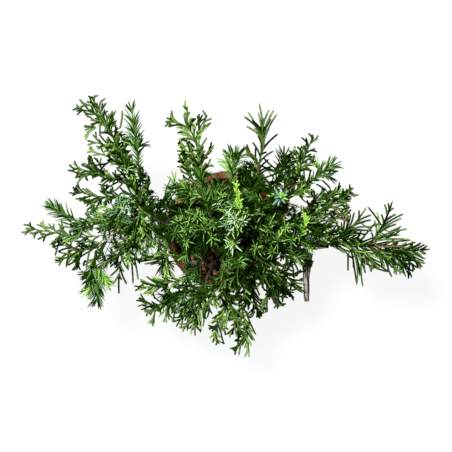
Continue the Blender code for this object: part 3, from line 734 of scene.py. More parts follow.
FREE_LEADERS = {
    # the same for shoots over the pot and between the masses, with the width of the room each fills
    "left_back_gap": ("forked", "green", (130,176,222, 122,156,229, 114,138,235, 108,124,240),
        (120,119, 119,131, 127,140, 112,112, 124,150), 8),
    "left_mid_knot": ("cord", "green", (114,222,206, 100,222,206, 88,221,206),
        (84,211, 91,207, 77,217, 86,230, 97,232, 80,226), 10),
    "front_left_gap": ("cord", "dark", (202,290,162, 192,300,158, 183,310,155),
        (175,304, 192,316, 180,318, 200,310), 8),
    "right_teal": ("needle", "shade", (272,216,226, 283,211,226, 292,208,226),
        (287,218, 293,214, 283,202), 7),
    "right_back_gap": ("forked", "green", (294,192,212, 303,190,212, 310,188,212),
        (306,197, 313,193, 302,183), 6),
    "right_upper_gap": ("cord", "green", (320,222,192, 333,218,192, 345,214,192),
        (338,209, 349,221, 330,228, 352,211), 8),
    "right_top_gap": ("mixed", "shade", (268,196,216, 272,182,219, 275,170,222),
        (263,172, 284,176, 268,160, 281,164, 262,184), 9),
    "over_right_bough": ("cord", "green", (286,238,197, 302,241,194, 318,242,190, 332,240,188),
        (294,250, 308,251, 322,232, 340,242), 9),
    "left_dark_knot": ("mixed", "shade", (144,204,206, 147,194,209, 148,186,212),
        (154,180, 155,190, 152,198, 144,178), 8),
    "left_low_knot": ("needle", "green", (104,242,197, 96,256,194, 92,270,191, 91,284,189),
        (84,264, 83,278, 86,296, 106,284), 7),
    "back_left_base": ("cord", "dark", (202,190,230, 194,181,233, 188,173,236, 185,166,238),
        (177,178, 190,162, 198,168, 180,184), 8),
    "front_gap": ("cord", "green", (216,280,168, 211,292,164, 208,304,160),
        (201,298, 217,306, 203,313, 213,316), 8),
    "over_rim_back": ("mixed", "dark", (262,200,218, 259,188,219, 252,178,221, 243,172,222),
        (245,184, 256,172, 268,178, 237,178, 268,188), 9),
    "back_middle_gap": ("forked", "dark", (284,192,212, 288,182,216, 290,174,220),
        (286,164, 294,166, 282,172, 296,176), 4),
    "rim_back_left": ("cord", "green", (206,198,230, 198,194,226, 190,192,220, 183,193,214),
        (178,190, 180,199, 188,186, 188,200, 175,196), 5),
    "rim_back": ("mixed", "dark", (240,200,232, 242,190,228, 243,181,222, 243,174,217),
        (237,178, 249,177, 238,184, 248,185), 5),
    "rim_front": ("mixed", "green", (232,262,196, 232,270,186, 230,278,178, 228,286,170),
        (220,282, 238,284, 222,290, 242,278, 216,287), 8),
    "rim_front_right": ("cord", "green", (248,262,190, 250,271,182, 252,279,174, 254,287,168),
        (246,286, 262,282, 248,280, 260,290), 7),
    "rim_front_left": ("cord", "dark", (170,240,190, 173,248,184, 175,256,178, 177,262,172),
        (170,256, 182,258, 172,264, 180,266), 4),
    "over_rim_low": ("needle", "dark", (206,258,172, 199,266,169, 193,272,166, 187,277,164),
        (186,266, 197,278, 188,284, 204,272, 182,272), 6),
    "over_front_left": ("cord", "dark", (226,246,214, 222,262,206, 224,280,196, 222,298,186),
        (214,286, 232,276, 214,300, 230,302, 236,290), 13),
    "over_front": ("cord", "green", (236,248,214, 240,264,206, 243,282,196, 246,300,186),
        (234,296, 252,296, 230,284, 250,280, 256,306), 14),
    "over_front_right": ("cord", "dark", (250,246,210, 260,258,204, 270,272,196, 280,286,186),
        (262,290, 286,276, 270,298, 292,284, 280,262), 15),
    "over_right_front": ("cord", "dark", (258,238,208, 274,246,204, 290,254,198, 304,260,192),
        (296,246, 306,252, 290,270, 304,268, 282,266), 14),
    "over_right": ("mixed", "dark", (262,228,212, 280,226,208, 298,226,202, 316,228,196),
        (288,238, 300,216, 310,238, 322,218, 296,242, 284,214), 14),
    "over_right_back": ("mixed", "shade", (262,214,216, 276,206,214, 290,196,212, 302,186,210),
        (270,196, 284,188, 296,200, 290,182, 306,196, 276,214), 13),
    "deep_gap": ("needle", "shade", (254,226,200, 252,222,208, 250,218,214, 248,214,218),
        (244,222, 256,216, 242,230, 258,232, 250,236, 262,222), 12),
    "over_back": ("mixed", "shade", (246,208,232, 250,196,230, 254,186,228, 258,176,226),
        (240,190, 262,186, 248,178, 266,180, 252,168, 240,178), 12),
    "over_back_left": ("cord", "dark", (222,204,240, 212,194,240, 204,182,240, 198,170,240),
        (190,178, 208,170, 192,190, 184,168, 206,160), 12),
    "over_left": ("mixed", "shade", (214,212,226, 196,212,222, 178,212,218, 160,206,214),
        (190,202, 176,202, 168,198, 184,222, 200,204), 12),
    "under_left": ("needle", "shade", (200,226,214, 182,228,208, 164,228,202, 146,224,199),
        (170,238, 156,238, 144,234, 184,240), 11),
    "left_knot": ("mixed", "dark", (150,214,206, 134,216,206, 120,222,204, 106,230,202),
        (140,226, 126,232, 128,206, 112,238, 136,240), 14),
    "left_front_knot": ("mixed", "green", (146,228,200, 134,238,196, 124,248,192, 114,258,188),
        (140,250, 128,262, 116,270, 136,244, 104,262), 13),
    "left_back_knot": ("cord", "dark", (142,206,210, 136,192,214, 132,178,219, 128,164,224),
        (146,186, 150,178, 144,170, 120,190, 118,176, 138,160), 12),
    "right_knot": ("cord", "dark", (300,222,194, 316,212,196, 330,204,198, 344,198,200),
        (322,220, 334,216, 344,210, 312,200, 330,194), 12),
    "right_low_knot": ("cord", "dark", (314,232,186, 330,236,184, 346,238,182, 360,240,181),
        (326,226, 340,228, 334,246, 350,250, 356,230), 10),
    "front_left_knot": ("mixed", "dark", (214,282,168, 200,288,164, 186,294,160, 170,300,156),
        (196,276, 184,284, 190,306, 176,290, 164,292, 206,300), 13),
    "front_low_knot": ("cord", "green", (228,292,172, 232,306,168, 236,320,166, 240,334,164),
        (224,312, 244,316, 222,326, 248,328, 228,336), 12),
    "front_right_knot": ("cord", "dark", (264,272,176, 274,282,170, 284,290,164, 292,296,160),
        (278,296, 292,286, 270,288, 298,290, 284,300), 12),
}
SPRAYS = {
    # the same for small bright sprays near the camera
    "lime_upright": ("small", "lime", (238,210,280, 239,200,286, 237,190,290, 236,184,292),
        (234,190, 241,193, 234,198, 242,201), 2),
    "lime_right": ("small", "lime", (300,236,206, 304,228,210, 306,220,213, 304,213,215),
        (309,215, 309,222, 300,222), 2),
    "lime_small": ("small", "lime", (276,240,214, 280,235,217, 284,229,219),
        (279,230), 2),
    "fork_long": ("needle", "green", (209,214,270, 206,202,275, 202,190,279, 200,176,282),
        (196,192, 208,186), 3),
    "fork_right": ("needle", "green", (209,213,270, 216,207,273, 223,202,276, 229,198,278),
        (222,196, 228,206), 3),
    "fork_middle": ("needle", "green", (210,210,271, 213,203,274, 216,194,277),
        (211,196), 3),
    "upper_spray": ("needle", "green", (200,200,266, 192,194,270, 184,190,273, 176,187,275),
        (182,182, 188,198, 190,184), 5),
    "left_spray": ("needle", "green", (208,226,268, 200,224,271, 192,222,273, 184,220,274),
        (186,212, 184,230, 196,214, 192,232), 5),
    "low_left_spray": ("needle", "dark", (204,238,250, 196,234,252, 189,232,253, 183,232,254),
        (188,240, 190,226), 4),
    "over_rim": ("small", "bright", (188,255,214, 172,255,212, 156,256,208, 142,259,204, 127,259,200),
        (150,262, 160,250, 176,262, 138,252), 2),
    "thin_cord": ("small", "bright", (262,252,226, 260,244,230, 261,235,233, 262,228,235),
        (258,232), 2),
}
LONE_CORDS = [
    # long single cords that hang out of the sprays: root, tip and height
    (84,230, 62,222, 208), (84,232, 60,226, 208), (82,228, 66,218, 209), (110,146, 99,134, 234),
    (108,150, 98,139, 232), (306,186, 304,170, 214), (308,184, 311,169, 214), (302,186, 300,172, 214),
    (279,171, 263,157, 222), (279,172, 259,165, 222), (278,173, 262,179, 220), (278,172, 267,170, 221),
    (163,258, 137,262, 191), (160,260, 144,264, 190), (208,302, 203,327, 155), (216,318, 222,336, 156),
    (388,236, 401,226, 184), (386,238, 400,231, 184), (158,258, 138,262, 192), (152,256, 132,260, 192),
    (162,262, 150,265, 188), (166,284, 150,279, 162), (160,286, 140,281, 160), (164,288, 146,276, 162),
    (294,262, 299,274, 192), (290,260, 294,272, 190), (254,280, 260,296, 172), (250,284, 256,296, 172),
    (316,196, 306,197, 200), (330,188, 322,180, 206), (326,190, 316,184, 206), (118,182, 110,187, 214),
    (112,186, 98,184, 212), (122,184, 114,191, 212), (131,258, 133,284, 186), (134,258, 138,280, 186),
    (143,284, 135,291, 154), (146,288, 134,286, 154), (126,252, 128,270, 188), (128,250, 135,266, 188),
    (132,252, 140,264, 188), (197,152, 207,137, 240), (197,162, 214,147, 238), (194,158, 204,146, 240),
    (190,152, 186,140, 246), (193,158, 190,143, 246), (192,162, 186,151, 242), (196,166, 204,158, 238),
    (290,184, 289,166, 216), (292,180, 294,162, 218), (288,182, 285,168, 216), (100,134, 101,122, 242),
    (106,132, 104,118, 242), (224,344, 221,332, 156), (120,128, 122,110, 238), (116,126, 112,110, 240),
    (364,236, 376,222, 182), (390,232, 399,228, 184), (348,255, 348,271, 174), (353,258, 357,285, 173),
    (361,264, 363,287, 172), (364,265, 365,273, 172), (374,264, 371,272, 174), (363,262, 389,272, 174),
    (380,255, 384,267, 176), (386,260, 392,277, 176), (381,225, 368,207, 186), (393,254, 394,274, 178),
    (399,255, 400,275, 178), (402,256, 412,278, 178), (368,228, 380,224, 184), (386,242, 411,240, 182),
    (398,246, 416,242, 182), (402,249, 420,245, 182), (404,251, 426,259, 180), (402,252, 423,267, 180),
    (404,250, 430,249, 181), (398,252, 406,277, 179), (246,312, 256,335, 163), (244,318, 255,341, 163),
    (246,326, 249,357, 163), (240,322, 238,349, 162), (262,272, 286,296, 160), (272,268, 303,293, 160),
    (252,288, 266,309, 158), (60,238, 55,256, 196), (72,240, 66,268, 195), (84,242, 74,271, 195),
    (92,244, 86,272, 195), (88,238, 60,258, 196), (78,234, 49,245, 200), (92,250, 74,262, 193),
    (196,316, 195,336, 150), (192,312, 187,331, 150), (186,310, 181,329, 150), (200,314, 201,331, 150),
    (176,306, 173,323, 148), (168,306, 164,322, 147),
]
BARE_TWIGS = [
    # old twigs without leaves: thickness at root and tip, and their course
    (1.2, 0.8, (283,204,224, 290,204,226, 297,206,226, 304,211,222)),
    (0.9, 0.6, (283,203,232, 289,209,234, 286,215,234, 278,221,232, 270,228,228)),
    (1.1, 0.8, (333,207,204, 342,216,202, 349,224,198, 356,231,190)),
    (1.2, 0.8, (289,190,214, 297,184,218, 306,180,220)),
    (1.5, 1.2, (311,249,181, 318,248.5,181, 327,247.5,181)),
    (1.3, 0.9, (119,230,207, 110,236,207, 100,242,205)),
    (1.7, 1.3, (377,246,188, 387,246.5,189, 397,246.5,188, 404,247,186)),
    (1.0, 0.7, (238,176,224, 244,170,226, 247,163,227)),
    (0.9, 0.6, (268,230,226, 276,236,226, 286,238,224)),
]
STARS = [
    # upright shoot tips: across, down, height, needles, their length, half their width, tone and tilt
    (180, 222, 278, 8, 11.5, 0.72, 2, 1.2), (189, 229, 280, 8, 12.0, 0.72, 1, 1.25),
    (197, 217, 282, 8, 11.5, 0.72, 2, 1.2), (204, 229, 280, 8, 12.0, 0.72, 1, 1.2),
    (186, 241, 270, 8, 11.0, 0.72, 1, 1.25), (212, 238, 280, 8, 11.0, 0.72, 2, 1.2),
    (176, 232, 268, 7, 11.0, 0.7, 1, 1.25), (214, 225, 290, 8, 10.5, 0.72, 1, 1.2),
    (268, 229, 248, 8, 12.0, 0.72, 1, 1.25), (277, 240, 244, 8, 11.5, 0.72, 1, 1.25),
    (286, 227, 242, 8, 11.5, 0.72, 2, 1.2), (272, 252, 236, 8, 11.0, 0.72, 1, 1.25),
    (292, 240, 232, 8, 11.0, 0.72, 1, 1.25), (256, 248, 250, 8, 10.5, 0.72, 2, 1.2),
    (244, 256, 250, 8, 10.5, 0.72, 1, 1.2), (233, 243, 280, 8, 6.5, 0.75, 5, 1.1),
    (189, 264, 156, 8, 9.5, 0.8, 3, 1.3), (197, 268, 155, 8, 9.5, 0.8, 3, 1.3),
    (280, 196, 262, 11, 13.5, 1.9, 3, 1.25), (233, 243, 276, 11, 12.0, 1.05, 4, 1.2),
    (230, 248, 272, 8, 9.0, 0.8, 2, 1.2), (229, 214, 310, 10, 9.0, 0.95, 4, 1.15),
    (234, 221, 312, 11, 9.0, 0.95, 4, 1.15), (226, 225, 306, 10, 9.0, 0.95, 3, 1.15),
    (238, 228, 306, 9, 8.0, 0.9, 5, 1.15), (232, 230, 308, 9, 8.0, 0.9, 4, 1.15),
    (243, 221, 306, 9, 8.0, 0.9, 4, 1.15), (240, 208, 304, 9, 8.0, 0.9, 5, 1.15),
    # the three stars of tone 0 at 250,221 and beside it are deep-toned needles over the trunk's top: painted
    # shade in the crown's hollow
    (232, 206, 302, 9, 8.5, 0.9, 3, 1.15), (250, 221, 262, 11, 10.0, 1.0, 0, 1.3),
    (255, 226, 256, 10, 10.0, 1.0, 0, 1.3), (246, 228, 258, 10, 10.0, 1.0, 0, 1.3),
    (246, 214, 300, 8, 7.5, 0.75, 5, 1.0), (241, 218, 302, 8, 7.0, 0.75, 2, 1.1),
    (222, 196, 284, 8, 8.5, 0.75, 2, 1.1), (219, 203, 282, 8, 8.0, 0.75, 4, 1.1),
    (119, 202, 220, 10, 10.0, 1.0, 3, 1.2), (127, 201, 222, 9, 9.5, 1.0, 3, 1.2),
    (129, 209, 220, 9, 9.0, 0.95, 3, 1.2), (123, 208, 222, 10, 9.5, 0.95, 4, 1.15),
    (116, 212, 214, 8, 8.5, 0.8, 3, 1.2), (133, 178, 232, 8, 7.5, 0.7, 5, 1.2),
    (127, 170, 232, 8, 7.5, 0.7, 4, 1.2), (181, 186, 268, 9, 9.5, 0.75, 5, 1.1),
    (190, 190, 272, 9, 9.5, 0.75, 2, 1.1), (262, 208, 246, 8, 9.0, 0.8, 1, 1.1),
    (272, 222, 240, 8, 9.5, 0.8, 1, 1.1), (266, 240, 228, 8, 8.5, 0.8, 1, 1.1),
]
OPENINGS = [
    # where soil, pot and floor show between the shoots: across, down, and half the size each way
    (211, 264, 9, 12), (175, 254, 6, 11), (204, 188, 9, 11), (220, 175, 11, 3), (162, 165, 13, 30),
    (160, 186, 8, 7), (218, 134, 4, 26), (271, 175, 8, 5), (297, 200, 6, 4), (316, 187, 3, 3),
    (147, 270, 9, 6), (178.5, 273, 3, 4), (326, 275, 13, 22), (94, 185, 9, 3), (77, 210, 8, 7),
    (124, 297, 4, 9), (296, 267, 2, 4), (206, 242, 4, 4), (264, 196, 4, 4), (265, 251, 4, 4),
    (275, 252, 3, 6), (300, 300, 6, 10), (271, 305, 2, 6), (205, 325, 3, 6), (290, 304, 3, 6),
    (112, 136, 3, 6), (104, 158, 3, 3), (108, 168, 3, 2), (131, 120, 3, 4), (346, 262, 3, 8),
    (358, 272, 2, 8), (370, 284, 8, 8), (90, 256, 4, 5), (107, 252, 4, 3), (197, 150, 2, 3),
    (166, 142, 12, 14), (194, 110, 3, 4), (182, 116, 3, 3),
]
HOLLOWS = [
    # deep dark gaps between the crown's sprays: only leaves in the shade tone, painted shade, grow here, and
    # none near the top
    (247, 232, 6, 19), (260, 233, 7, 7), (267, 211, 9, 5), (224, 206, 6, 5), (168, 215, 9, 5),
    (222, 234, 8, 3),
]
HOLLOW_TOP = 222
CORD_WAYS = {
    # shortest and longest cord, their spacing, how far they lean out, and the side cords on each
    "forked": (11.0, 19.0, 5.8, (0.45, 0.75), 1.0),
    "cord": (12.0, 20.0, 4.6, (0.32, 0.65), 0.4),
    "long": (14.0, 24.0, 5.0, (0.3, 0.7), 0.05),
    "mixed": (9.0, 16.0, 3.6, (0.4, 0.75), 0.9),
    "small": (5.0, 8.0, 3.0, (0.4, 0.75), 0.3),
}
# The shade mix is painted shade: near-black leaves for sprigs deep in the crown. The dark mix is partly the
# foliage's own deeper green and partly painted shade, given to shoots under the crown's top.
MIXES = {
    # shares of shade, deep, green, bright and lime cords,
    # then of deep, green, bright, blue, pale and yellow needles
    "shade": ((0.85, 0.15, 0, 0, 0), (1, 0, 0, 0, 0, 0)),
    "dark": ((0.2, 0.5, 0.3, 0, 0), (0.55, 0.4, 0.05, 0, 0, 0)),
    "green": ((0.05, 0.4, 0.45, 0.1, 0), (0.25, 0.5, 0.25, 0, 0, 0)),
    "bright": ((0, 0.2, 0.45, 0.35, 0), (0.1, 0.3, 0.5, 0, 0, 0.1)),
    "lime": ((0, 0, 0, 0.4, 0.6), (0, 0.2, 0.5, 0, 0, 0.3)),
    "blue": ((0.05, 0.35, 0.45, 0.15, 0), (0.1, 0.35, 0.2, 0.3, 0.05, 0)),
}
DEEP, GREEN, BRIGHT = 0, 1, 2
TUFTS = ("left_back_shoot", "left_tuft", "left_front_leader", "left_low_knot", "bough_hanging", "back_tuft",
         "back_right_tuft", "right_back_tuft")
# spacing of the whorls, needle length and half its width
TUFT_NEEDLE = (3.6, (13.5, 18.0), (0.78, 0.94))
SPRAY_NEEDLE = (4.2, (10.5, 15.5), (0.54, 0.68))
SHORT_NEEDLE = (3.1, (7.5, 12.0), (0.48, 0.62))
FLATTEN = np.array((1, 1, 0.6))
SPRIG_ROOM, OUTER_SPRIG_ROOM = 34, 66
INNER_MASSES = ("crown", "inner", "bough")
FRONDS_UP_TO = {"long": 25}
SHORT_SHOOT = 19
OVERSHOOT = 2.0
LEADER_STEPS = 26
TRIES = 4000
STEM_DROP = 6
rng = np.random.default_rng(7)
cords, needles, sprigs, leader_lines = [], [], [], []


def distances(line, point):
    """How far each point of a line is from a point."""
    return np.linalg.norm(line - point, axis=1)


def nearest_wood(point):
    """The middle line and the radii of the limb or leader that passes closest to a point."""
    return min(wood, key=lambda limb: distances(limb[0], point).min())


def dealt(shares):
    """One tone drawn by its share."""
    return int(rng.choice(len(shares), p=shares))


def spin(vector, axis, angle):
    """The vector turned about an axis."""
    axis = unit(axis)
    return (vector * math.cos(angle) + np.cross(axis, vector) * math.sin(angle)
            + axis * axis.dot(vector) * (1 - math.cos(angle)))


def leaning(along, out, angle):
    """A direction that leans away from another one by an angle."""
    return unit(along * math.cos(angle) + out * math.sin(angle))


def in_opening(points, gaps=OPENINGS):
    """Whether the camera sees any of the points, in mm, in a gap."""
    if not gaps:
        return False
    points = np.atleast_2d(points)[:, None]
    reach = (CAMERA_HEIGHT - points[..., 2]) / PICTURE_REACH
    across = PICTURE_SIDE / 2 + (points[..., 0] - CAMERA_RIGHT) / reach
    down = PICTURE_SIDE / 2 - (points[..., 1] - CAMERA_BACK) / reach
    middle, level, half_width, half_height = np.array(gaps).T
    return (((across - middle) / half_width) ** 2 + ((down - level) / half_height) ** 2 < 1).any()


def add_cord(start, knee, tip, girth, tone):
    """One scale-leaf cord, which bends once on its way to its tip."""
    if in_opening([(start + tip) / 2, tip]):
        return False
    length = np.linalg.norm(tip - start)
    heading, bend = 2 * (knee - start) / length, (start - 2 * knee + tip) / length
    cords.append((*start, *heading, *bend, length, girth, tone))
    return True


def grow_frond(start, way, tip, tone, side_cords, girth=1.0):
    """A cord that leaves its parent's way for its tip, with shorter cords on its two sides by turns."""
    length = np.linalg.norm(tip - start)
    straight = (tip - start) / max(length, 1e-6)
    knee = start + unit(unit(way) + straight * rng.uniform(1.2, 2.4)) * length * 0.5
    if not add_cord(start, knee, tip, girth, tone):
        return
    count = int(side_cords + rng.random())
    flat = unit(UP + rng.normal(0, 0.3, 3))
    hand = rng.choice((-1, 1))
    for number in range(count if length > 6 else 0):
        share = 0.3 + 0.55 * (number + rng.uniform(0.2, 0.8)) / count
        root = start * (1 - share) ** 2 + knee * 2 * share * (1 - share) + tip * share**2
        along = unit((knee - start) * (1 - share) + (tip - knee) * share)
        sideways = unit(np.cross(along, flat)) * hand
        turn = rng.uniform(0.38, 0.7)
        reach = (length * (1 - share) * 0.8 + rng.uniform(2.5, 4.5)) * rng.uniform(0.8, 1.1)
        end = root + leaning(along, sideways, turn) * reach
        add_cord(root, root + (end - root) * 0.5 + along * reach * 0.06, end, girth * 0.95, tone)
        hand = -hand


def walk(line):
    """How long a line is, and a function giving the place and way at a distance along it."""
    gone = way_along(line)

    def at(distance):
        step = int(np.clip(np.searchsorted(gone, distance) - 1, 0, len(line) - 2))
        share = (distance - gone[step]) / max(gone[step + 1] - gone[step], 1e-6)
        return line[step] + (line[step + 1] - line[step]) * share, unit(line[step + 1] - line[step])

    return gone[-1], at


def clothe_with_cords(line, way_name, tone, bare, branches):
    """Fronds to left and right of a shoot by turns, shorter towards its tip, and one that leads on."""
    short, long, step, leans, _ = CORD_WAYS[way_name]
    whole, at = walk(line)
    flat = unit(UP + rng.normal(0, 0.25, 3))
    distance = whole * bare + rng.uniform(0, step)
    hand = rng.choice((-1, 1))
    while distance < whole - 1:
        place, way = at(distance)
        sideways = unit(np.cross(way, flat + rng.normal(0, 0.25, 3))) * hand
        turn = rng.uniform(*leans)
        length = (short + (long - short) * (1 - distance / whole)) * rng.uniform(0.7, 1.15)
        length = min(length, 4.0 + (whole - distance) * 0.8)
        tip = place + leaning(way, sideways, turn) * length
        own = int(np.clip(tone + rng.choice((-1, 0, 0, 0, 1)), 0, 3)) if tone < 4 else tone
        grow_frond(place, way, tip, own, branches)
        hand = -hand
        distance += step * rng.uniform(0.7, 1.3)
    place, way = at(max(whole - 5, 0))
    tip = place + unit(way + rng.normal(0, 0.08, 3)) * rng.uniform(5, 6.5)
    grow_frond(place, way, tip, tone, min(branches, 1.6), 1.08)


def add_needle(place, heading, side, length, half_width, tone):
    """One awl needle, left out where it would cross a gap."""
    if not in_opening([place, place + heading * length]):
        needles.append((*place, *heading, *unit(side), length, half_width, tone))


def clothe_with_needles(line, tone, bare, sort):
    """Whorls of three awl needles along a shoot, flatter to the stem and crowded at its tip."""
    step, lengths, half_widths = sort
    whole, at = walk(line)
    distance = whole * bare
    roll = rng.uniform(0, math.tau)
    whorl = 0
    while distance <= whole - 4:
        place, way = at(distance)
        share = distance / whole
        whorl += 1
        out = unit(np.cross(way, UP + (0.01, 0.02, 0)))
        for leaf in range(3):
            outward = spin(out, way, roll + leaf * math.tau / 3 + rng.normal(0, 0.15))
            outward = unit(outward * FLATTEN)
            heading = leaning(way, outward, (0.85 - 0.3 * share) * rng.uniform(0.75, 1.2))
            length = rng.uniform(*lengths) * float(np.clip(2 * share - 0.4, 0.45, 1))
            # the needles low on the shoot, and one here and there above them, are a tone deeper: painted
            # shade within the shoot
            shaded_needle = tone in (GREEN, BRIGHT) and (share < 0.45 or (whorl + leaf) % 3 == 0)
            add_needle(place, heading, np.cross(way, outward), length, rng.uniform(*half_widths), tone - shaded_needle)
        roll += math.tau / 6
        distance += step * (1 - 0.45 * share)
    place, way = at(whole - 2)
    out = unit(np.cross(way, UP + (0.01, 0.02, 0)))
    for leaf in range(8):
        outward = unit(spin(out, way, roll + leaf * math.tau / 8 + rng.normal(0, 0.2)) * FLATTEN)
        heading = leaning(way, outward, rng.uniform(0.12, 0.8))
        length = rng.uniform(*lengths) * 0.9
        # every third needle of the tip's bunch is a tone deeper too: painted shade
        shaded_needle = tone in (GREEN, BRIGHT) and leaf % 3 == 0
        add_needle(place, heading, np.cross(way, outward), length, rng.uniform(*half_widths), tone - shaded_needle)


def curve_out(start, way, tip, count=7):
    """A side shoot: it leaves along the parent's way and bends out to its tip."""
    knee = start + unit(way) * np.linalg.norm(tip - start) * 0.42
    t = np.linspace(0, 1, count)[:, None]
    return start * (1 - t) ** 2 + knee * 2 * t * (1 - t) + tip * t**2


def room_of(node):
    """A test of whether a point in mm is inside a mass, and the mass's box in mm."""
    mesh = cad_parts[node].data
    tree = BVHTree.FromPolygons([v.co[:] for v in mesh.vertices], [p.vertices[:] for p in mesh.polygons])

    def inside(point):
        spot, hits = Vector(point) * MM, 0
        while hits < 20:
            hit = tree.ray_cast(spot, Vector((0.0123, 0.0045, 1)))[0]
            if hit is None:
                break
            hits += 1
            spot = hit + Vector((0, 0, 2e-5))
        return hits % 2 == 1

    low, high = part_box(node)
    return inside, np.array(low) / MM, np.array(high) / MM


def room_along(line, width):
    """The same for a free shoot: the room is a flattened round space along its outer part."""
    core = line[len(line) // 4:]

    def inside(point):
        gap = core - point
        gap[:, 2] *= 1.7
        return np.linalg.norm(gap, axis=1).min() < width

    return inside, core.min(0) - width, core.max(0) + width


def clothe(line, kind, mix, bare, sort, painted_shade_low=False):
    """Gives a shoot its leaves, of a kind and tone dealt from its mix, or from the shade mix as painted shade
    when it lies low in its mass or in a hollow; a short shoot is one frond.
    """
    kept = next((number for number, point in enumerate(line) if in_opening(point)), len(line))
    if kept < 3:
        return
    line = line[:kept]
    hollow = in_opening(line[len(line) // 2:], HOLLOWS)
    if hollow and line[-1][2] > HOLLOW_TOP:
        return
    cord_shares, needle_shares = MIXES["shade" if painted_shade_low or hollow else mix]
    if kind == "needle" or (kind == "mixed" and rng.random() < 0.45):
        sprigs.append((line, 0.65))
        clothe_with_needles(line, dealt(needle_shares), bare, sort)
        return
    tone = dealt(cord_shares)
    whole = np.linalg.norm(line[-1] - line[0])
    branches = CORD_WAYS[kind][-1]
    if whole < FRONDS_UP_TO.get(kind, SHORT_SHOOT):
        grow_frond(line[0], line[1] - line[0], line[-1], tone, branches * whole / 12, 1.05)
    else:
        sprigs.append((line, 0.75))
        clothe_with_cords(line, kind, tone, bare, branches * 0.5)


def join_to_wood(path):
    """The leader's line from the nearest wood on, and its radii."""
    parent, parent_radii = nearest_wood(path[0])
    spot = max(0, distances(parent, path[0]).argmin() - 3)
    if np.linalg.norm(parent[spot] - path[0]) > 1.5:
        path = [parent[spot], *path]
    thick = min(parent_radii[spot] * 0.8, 1.25)
    return smooth_line(path, LEADER_STEPS), np.linspace(thick, 0.6, LEADER_STEPS)


def grow_leader(name, kind, mix, path, tips, width=None):
    """A leader from the nearest wood, side shoots to its tips, and sprigs through its room."""
    sort = TUFT_NEEDLE if name in TUFTS else SPRAY_NEEDLE if name in SPRAYS else SHORT_NEEDLE
    line, radii = join_to_wood([seen(*place) for place in np.reshape(path, (-1, 3))])
    leader_lines.append((line, radii))
    wood.append((line, radii))
    ways = np.gradient(line, axis=0)
    ways /= np.linalg.norm(ways, axis=1, keepdims=True)
    bones, flows = [line], [ways]
    for across, down in np.reshape(tips, (-1, 2)):
        flat = np.array([seen(across, down, p[2])[:2] for p in line])
        offset = flat - line[:, :2]
        reach = np.linalg.norm(offset, axis=1)
        flow = ways[:, :2] / np.maximum(np.linalg.norm(ways[:, :2], axis=1, keepdims=True), 0.2)
        angle = np.arccos(np.clip((offset * flow).sum(1) / np.maximum(reach, 1e-6), -1, 1))
        foot = (np.abs(angle - 0.6) / 0.35 + reach / 34 + (np.arange(len(line)) < 5)).argmin()
        if kind != "lone":
            reach[foot] = max(reach[foot] - (sort[1][0] * 0.6 if kind == "needle" else OVERSHOOT), 5)
        flat[foot] = line[foot, :2] + offset[foot] / np.linalg.norm(offset[foot]) * reach[foot]
        end = np.array((*flat[foot], line[foot, 2] + reach[foot] * rng.uniform(-0.12, 0.3)))
        if kind == "lone":
            knee = line[foot] + unit(unit(ways[foot]) + unit(end - line[foot]) * 2) * reach[foot] * 0.5
            add_cord(line[foot], knee, end, 1.05, dealt(MIXES[mix][0]))
            continue
        side = curve_out(line[foot], ways[foot], end)
        side_ways = np.gradient(side, axis=0)
        bones.append(side)
        flows.append(side_ways / np.linalg.norm(side_ways, axis=1, keepdims=True))
        clothe(side, kind, mix, 0.2, sort)
    if kind == "lone":
        return
    if kind == "needle":
        clothe_with_needles(line, dealt(MIXES[mix][1]), 0.3, sort)
    else:
        clothe_with_cords(line, kind, dealt(MIXES[mix][0]), 0.25, CORD_WAYS[kind][-1])
    if name in TUFTS:
        return
    inside, low, high = room_along(line, width) if width else room_of("foliage_" + name)
    plan = (high[0] - low[0]) * (high[1] - low[1]) * 0.62
    room = SPRIG_ROOM if width or name.split("_")[0] in INNER_MASSES else OUTER_SPRIG_ROOM
    bones, flows = np.vstack(bones), np.vstack(flows)
    made = 0
    for attempt in range(TRIES):
        if made >= plan / room:
            break
        spot = rng.uniform(low, high)
        if not inside(spot):
            continue
        made += 1
        gap = spot - bones
        reach = np.linalg.norm(gap, axis=1)
        facing = (gap * flows).sum(1) / np.maximum(reach, 1e-6)
        foot = (reach * (1.7 - facing) + (reach < 5) * 6).argmin()
        if reach[foot] < 6:
            spot = bones[foot] + unit(gap[foot] + flows[foot] * 2) * 8
        side = curve_out(bones[foot], flows[foot], spot, 6)
        # a sprig in the lower part of its room takes the shade mix: painted shade
        clothe(side, kind, mix, 0.25, sort, spot[2] < (low[2] * 0.55 + high[2] * 0.45))


for name, leader in {**LEADERS, **FREE_LEADERS}.items():
    grow_leader(name, *leader)
OPENINGS.clear()
for name, leader in SPRAYS.items():
    grow_leader(name, *leader)


def add_stem(point, thick, way=None):
    """A twig to a point from the nearest wood, straight, or from lower down and setting out along a way."""
    parent, _ = nearest_wood(point)
    aim = point if way is None else point - way * STEM_DROP
    root = parent[distances(parent, aim).argmin()]
    stem = curve_out(root, point - root if way is None else way, point, 6 if way is None else 8)
    sprigs.append((stem, thick))
    return stem


